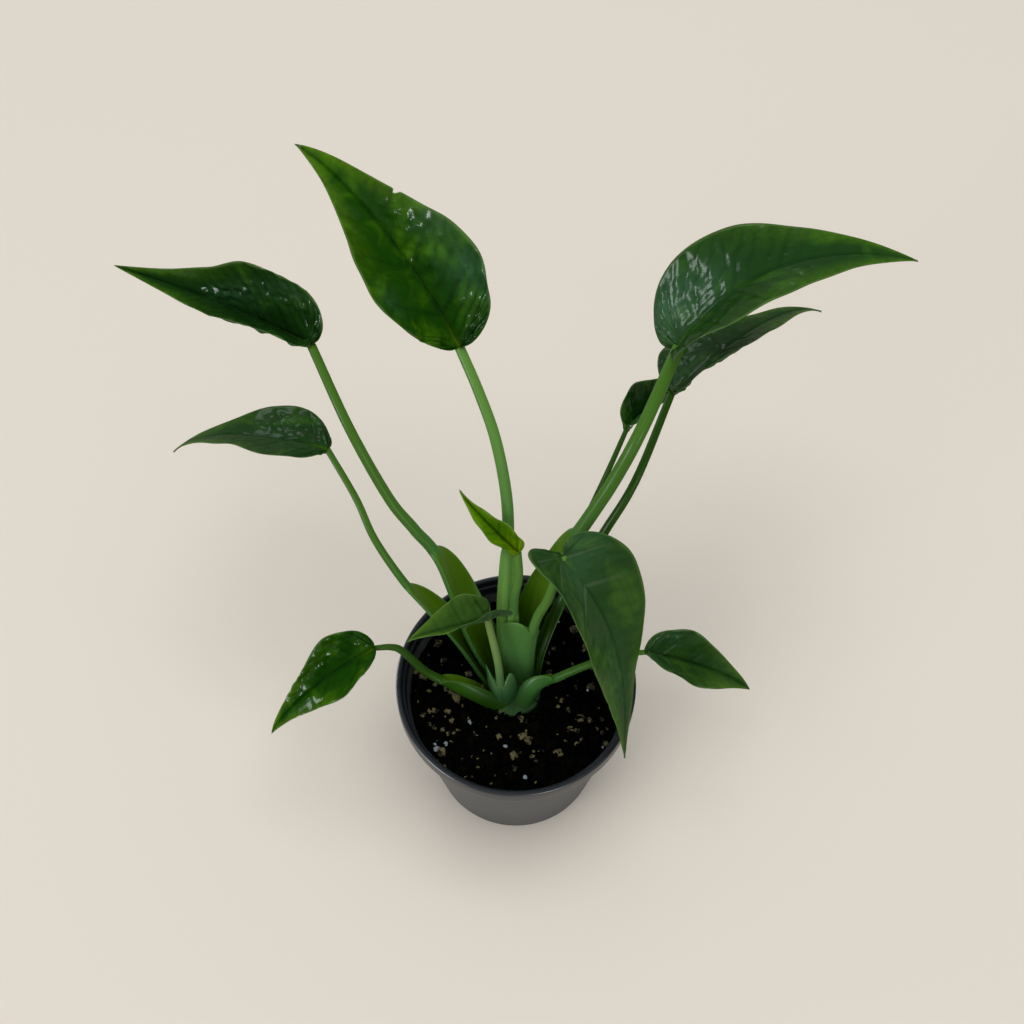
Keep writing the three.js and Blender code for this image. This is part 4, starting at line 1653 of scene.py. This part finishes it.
@dataclass
class Ground:
    """The soil, its loose crumbs and the pale grains in it.

    Attributes:
        edge: Radius of the surface.
        floor_radius: Radius at the pot's floor.
        floor: Height of the pot's floor.
        hole: Radius and height of the hole that the rhizome stands in, from its bottom up.
        clods: Height, wavelength and seed of each layer of clods.
        low: How far the middle of the surface's ups and downs lies below the soil level.
        rings: Rings of the surface's mesh.
        sides: Pieces in a full turn.
        crumbs: The crumbs of the mix itself.
        tan: The dull tan grains.
        pale: The few white ones.
    """

    edge: float = 48.2
    floor_radius: float = 37.5
    floor: float = 1.8
    hole: tuple[Pair, ...] = ((0, 45.7), (5.2, 46.7), (9.3, 52.8), (12.2, 60), (13.3, 66))
    clods: tuple[tuple[float, float, int], ...] = ((0.7, 6.0, 3), (0.45, 2.6, 4), (0.25, 1.3, 5))
    low: float = 0.3
    rings: int = 100
    sides: int = 300
    crumbs: Grains = Grains(
        "soil_crumbs", count=2600, sizes=(0.7, 3.2), detail=1, sunk=0.4, seed=7, sharp_above=30,
    )
    tan: Grains = Grains("grains_tan", count=190, sizes=(1.3, 4.6), detail=2, sunk=0.45, seed=8)
    pale: Grains = Grains("grains_pale", count=24, sizes=(1.0, 2.8), detail=2, sunk=0.4, seed=9)

    def from_crown(self, x: Array, y: Array) -> Array:
        """Return how far a place lies outside the rhizome's hole."""
        return np.hypot(x - CROWN[0], y - CROWN[1]) - self.hole[-1][0]

    def height(self, x: Array, y: Array) -> Array:
        """Return the surface's height.

        Low lumps, 0.9 sin(x / 4.1 + 1) sin(y / 5.3 + x / 9), carry layers of random clods, and
        both fade out towards the rhizome.

        Args:
            x: First coordinate.
            y: Second coordinate.

        Returns:
            The height.
        """
        lumps = 0.9 * np.sin(x / 4.1 + 1) * np.sin(y / 5.3 + x / 9)
        for rise, wavelength, seed in self.clods:
            lumps = lumps + rise * wavefield(x, y, wavelength, seed)
        return SOIL_LEVEL + lumps * ramp(self.from_crown(x, y), 0, 4) - self.low

    def body(self) -> Surface:
        """Build the soil as one closed surface turned about the pot's middle.

        From the bottom of the rhizome's hole it runs up to the surface, out to the wall, down it
        and back along the floor. The rings' middle shifts from the crown to the pot's own.

        Returns:
            The surface.
        """
        inner = self.hole[-1][0]
        across = np.linspace(inner, self.edge, self.rings)
        top = np.stack([across, np.full_like(across, SOIL_LEVEL)], -1)
        down = np.array([(self.floor_radius, self.floor), (0, self.floor)])
        profile = np.vstack([self.hole, top, down])
        points, faces = turned(profile, self.sides)
        radius = np.repeat(profile[:, 0], self.sides)
        share = np.clip((radius - inner) / (self.edge - inner), 0, 1)
        share[-len(down) * self.sides:] = 1
        points[:, :2] += np.array(CROWN) * (1 - share)[:, None]
        first = len(self.hole) * self.sides
        on_top = slice(first, first + len(top) * self.sides)
        points[on_top, 2] = self.height(points[on_top, 0], points[on_top, 1])
        return Surface(points, faces)

    def scatter(self, kind: Grains) -> Surface:
        """Scatter lumpy grains over the surface as one mesh.

        A grain is a ball whose points are pushed in and out at random; it is stretched,
        flattened and turned, and part of it is sunk in the soil. None lies inside the crown.

        Args:
            kind: What the grains are like.

        Returns:
            The surface.
        """
        rng = np.random.default_rng(kind.seed)
        ball = bmesh.new()
        bmesh.ops.create_icosphere(ball, subdivisions=kind.detail, radius=0.5)
        shape = np.array([v.co[:] for v in ball.verts])
        faces = np.array([[v.index for v in f.verts] for f in ball.faces])
        ball.free()
        radius = self.edge * np.sqrt(rng.uniform(0, 1, kind.count * 2)) * kind.spread
        angle = rng.uniform(0, 2 * np.pi, kind.count * 2)
        x, y = radius * np.cos(angle), radius * np.sin(angle)
        clear = self.from_crown(x, y) > -1
        x, y = x[clear][:kind.count], y[clear][:kind.count]
        small, large = kind.sizes
        size = small + (large - small) * rng.uniform(0, 1, len(x)) ** kind.rarity
        lump = 1 + rng.uniform(-kind.lumpiness, kind.lumpiness, (len(x), len(shape)))
        sides = [rng.uniform(*limits, len(x)) for limits in kind.stretch]
        stretch = np.stack([*sides, np.full(len(x), kind.squash)], -1)
        grains = shape[None] * lump[..., None] * stretch[:, None] * size[:, None, None]
        turn = rng.uniform(0, 2 * np.pi, (len(x), 1))
        cos, sin = np.cos(turn), np.sin(turn)
        east = grains[..., 0] * cos - grains[..., 1] * sin + x[:, None]
        north = grains[..., 0] * sin + grains[..., 1] * cos + y[:, None]
        lift = self.height(x, y) + size * kind.squash * (0.5 - kind.sunk)
        points = np.stack([east, north, grains[..., 2] + lift[:, None]], -1)
        offsets = np.arange(len(x))[:, None, None] * len(shape)
        return Surface(points.reshape(-1, 3), (faces[None] + offsets).reshape(-1, 3))

    def build(self) -> None:
        """Build and dress the soil and everything that lies on it."""
        mix = PottingMix().material()
        settle(self.body().build("soil_body"), mix, "soil", "soil")
        tan = GrainStone(
            "grain_tan", light=srgb(124, 116, 76), dark=srgb(66, 60, 38), soiled=0.62,
        )
        pale = GrainStone(
            "grain_pale", light=srgb(160, 170, 178), dark=srgb(112, 120, 126), soiled=0.3,
        )
        dressed = (self.crumbs, mix), (self.tan, tan.material()), (self.pale, pale.material())
        for kind, material in dressed:
            piece = self.scatter(kind).build(kind.name, kind.sharp_above)
            settle(piece, material, "soil")


@dataclass
class Rhizome:
    """The upright stock that the stalks grow from.

    Attributes:
        section: Radius and height, from its lower end to its top.
        rounding: How far from a corner its rounding starts.
        scar_depth: Depth of the leaf scars that ring it.
        scar_pace: How fast they follow each other upwards, in radians per millimetre.
        scarred: The heights that they lie between.
        sides: Pieces in a full turn.
    """

    section: tuple[Pair, ...] = (
        (0, 46), (5, 47), (9, 53), (12, 60), (13, 66), (13, 70.2), (10, 71.6), (0, 73),
    )
    rounding: float = 2.0
    scar_depth: float = 0.15
    scar_pace: float = 2.6
    scarred: Pair = (47.0, 71.5)
    sides: int = 96

    def build(self) -> None:
        """Build it as a turned body, drawn in by |sin(pace * height)| at its scars, and dress it."""
        points, faces = turned(rounded(self.section, self.rounding), self.sides)
        height = points[:, 2]
        scars = self.scar_depth * np.abs(np.sin(height * self.scar_pace))
        low, high = self.scarred
        scars *= ramp(height, low, low + 5) * ramp(-height, -high, -high + 2.5)
        radius = np.hypot(points[:, 0], points[:, 1])
        points[:, :2] *= (1 - scars / np.maximum(radius, 1))[:, None]
        points[:, :2] += CROWN
        crown = Surface(points, faces).build("crown")
        settle(crown, CrownSkin().material(), "rhizome", "rhizome")


# Studio


@dataclass(frozen=True)
class Lamp:
    """A square soft light.

    Attributes:
        name: Its name.
        place: Where it hangs, in metres.
        size: Its side, in metres.
        power: Its power, in watts.
        glints: Whether it only shows as a glint on glossy skins, or only lights what is matt.
    """

    name: str
    place: Point
    size: float
    power: float
    glints: bool = False

    def hang(self, target: Point, colour: Colour) -> None:
        """Hang the lamp.

        Args:
            target: What it points at, in metres.
            colour: Its light's colour.
        """
        light = bpy.data.lights.new(self.name, "AREA")
        light.size = self.size
        light.energy = self.power
        light.color = colour
        lamp = bpy.data.objects.new(self.name, light)
        lamp.visible_diffuse = not self.glints
        lamp.visible_glossy = self.glints
        lamp.location = self.place
        east, north, up = np.array(target) - np.array(self.place)
        tilt, heading = math.atan2(math.hypot(east, north), -up), math.atan2(north, east)
        lamp.rotation_euler = (tilt, 0, heading - math.pi / 2)
        bpy.context.scene.collection.objects.link(lamp)


@dataclass
class Studio:
    """The floor, the light and the camera.

    Attributes:
        floor_colour: Colour of the floor.
        floor_size: Its side, in metres.
        air: Colour of the light from all round.
        air_strength: Its strength.
        daylight: Colour of the soft lights.
        glint: Colour of the glints.
        target: What the lights point at, in metres.
        lamps: The lights.
        camera_place: Where the camera stands, in metres.
        camera_tilt: How far it looks up from straight down.
        lens: Its focal length, in millimetres.
        sensor: The width of its picture, in millimetres.
    """

    floor_colour: Colour = srgb(226, 217, 205)
    floor_size: float = 8.0
    air: Colour = (0.95, 0.98, 1.0)
    air_strength: float = 0.56
    daylight: Colour = (1.0, 0.99, 0.97)
    glint: Colour = (0.93, 0.97, 1.0)
    target: Point = (0, 0.03, 0.1)
    lamps: tuple[Lamp, ...] = (
        Lamp("ceiling", (0.1, 0, 3.2), size=2.0, power=43),
        Lamp("window", (-1.9, -1.6, 1.9), size=1.2, power=14),
        Lamp("glint_left", (-1.7, -1.15, 0.32), size=0.5, power=60, glints=True),
        Lamp("glint_side", (-1.7, 0.85, 0.5), size=0.5, power=22, glints=True),
        Lamp("glint_back", (-0.5, 1.75, 0.75), size=0.5, power=5, glints=True),
        Lamp("glint_front", (0.7, -1.9, 0.5), size=0.35, power=26, glints=True),
    )
    camera_place: Point = (-0.0018, -0.26, 0.674)
    camera_tilt: float = 30.6
    lens: float = 50.0
    sensor: float = 36.0

    def floor(self) -> None:
        """Lay a plain pale floor under the pot."""
        bpy.ops.mesh.primitive_plane_add(size=self.floor_size, location=(0, 0, 0))
        plane = bpy.context.object
        plane.name = "studio_floor"
        sh = Shader("studio_paper", Roughness=0.9, Specular_IOR_Level=0.1)
        soft = sh.noise(sh.place(), 3.0, 2)
        light = tuple(min(1.0, value * 1.02) for value in self.floor_colour)
        sh.feed(Base_Color=sh.mix(soft * 0.5, self.floor_colour, light))
        plane.data.materials.append(sh.material)

    def light(self) -> None:
        """Hang the lamps and set the light from all round."""
        world = bpy.data.worlds.new("studio_air")
        world.use_nodes = True
        sky = world.node_tree.nodes["Background"]
        sky.inputs["Color"].default_value = (*self.air, 1)
        sky.inputs["Strength"].default_value = self.air_strength
        bpy.context.scene.world = world
        for lamp in self.lamps:
            lamp.hang(self.target, self.glint if lamp.glints else self.daylight)

    def camera(self) -> None:
        """Set up the camera, at the photo's angle."""
        camera = bpy.data.cameras.new("camera")
        camera.lens = self.lens
        camera.sensor_width = self.sensor
        viewer = bpy.data.objects.new("camera", camera)
        viewer.location = self.camera_place
        viewer.rotation_euler = (math.radians(self.camera_tilt), 0, 0)
        bpy.context.scene.collection.objects.link(viewer)
        bpy.context.scene.camera = viewer

    def build(self) -> None:
        """Set up the floor, the lights and the camera."""
        bpy.context.scene.view_settings.view_transform = "Standard"
        self.floor()
        self.light()
        self.camera()


def main() -> None:
    """Build everything."""
    logging.basicConfig(level=logging.INFO, format="%(name)s: %(message)s")
    Pot().build()
    Ground().build()
    Rhizome().build()
    skins: dict[str, bpy.types.Material] = {}
    for leaf in LEAVES:
        leaf.build(skins)
    Studio().build()


if __name__ == "__main__":
    main()
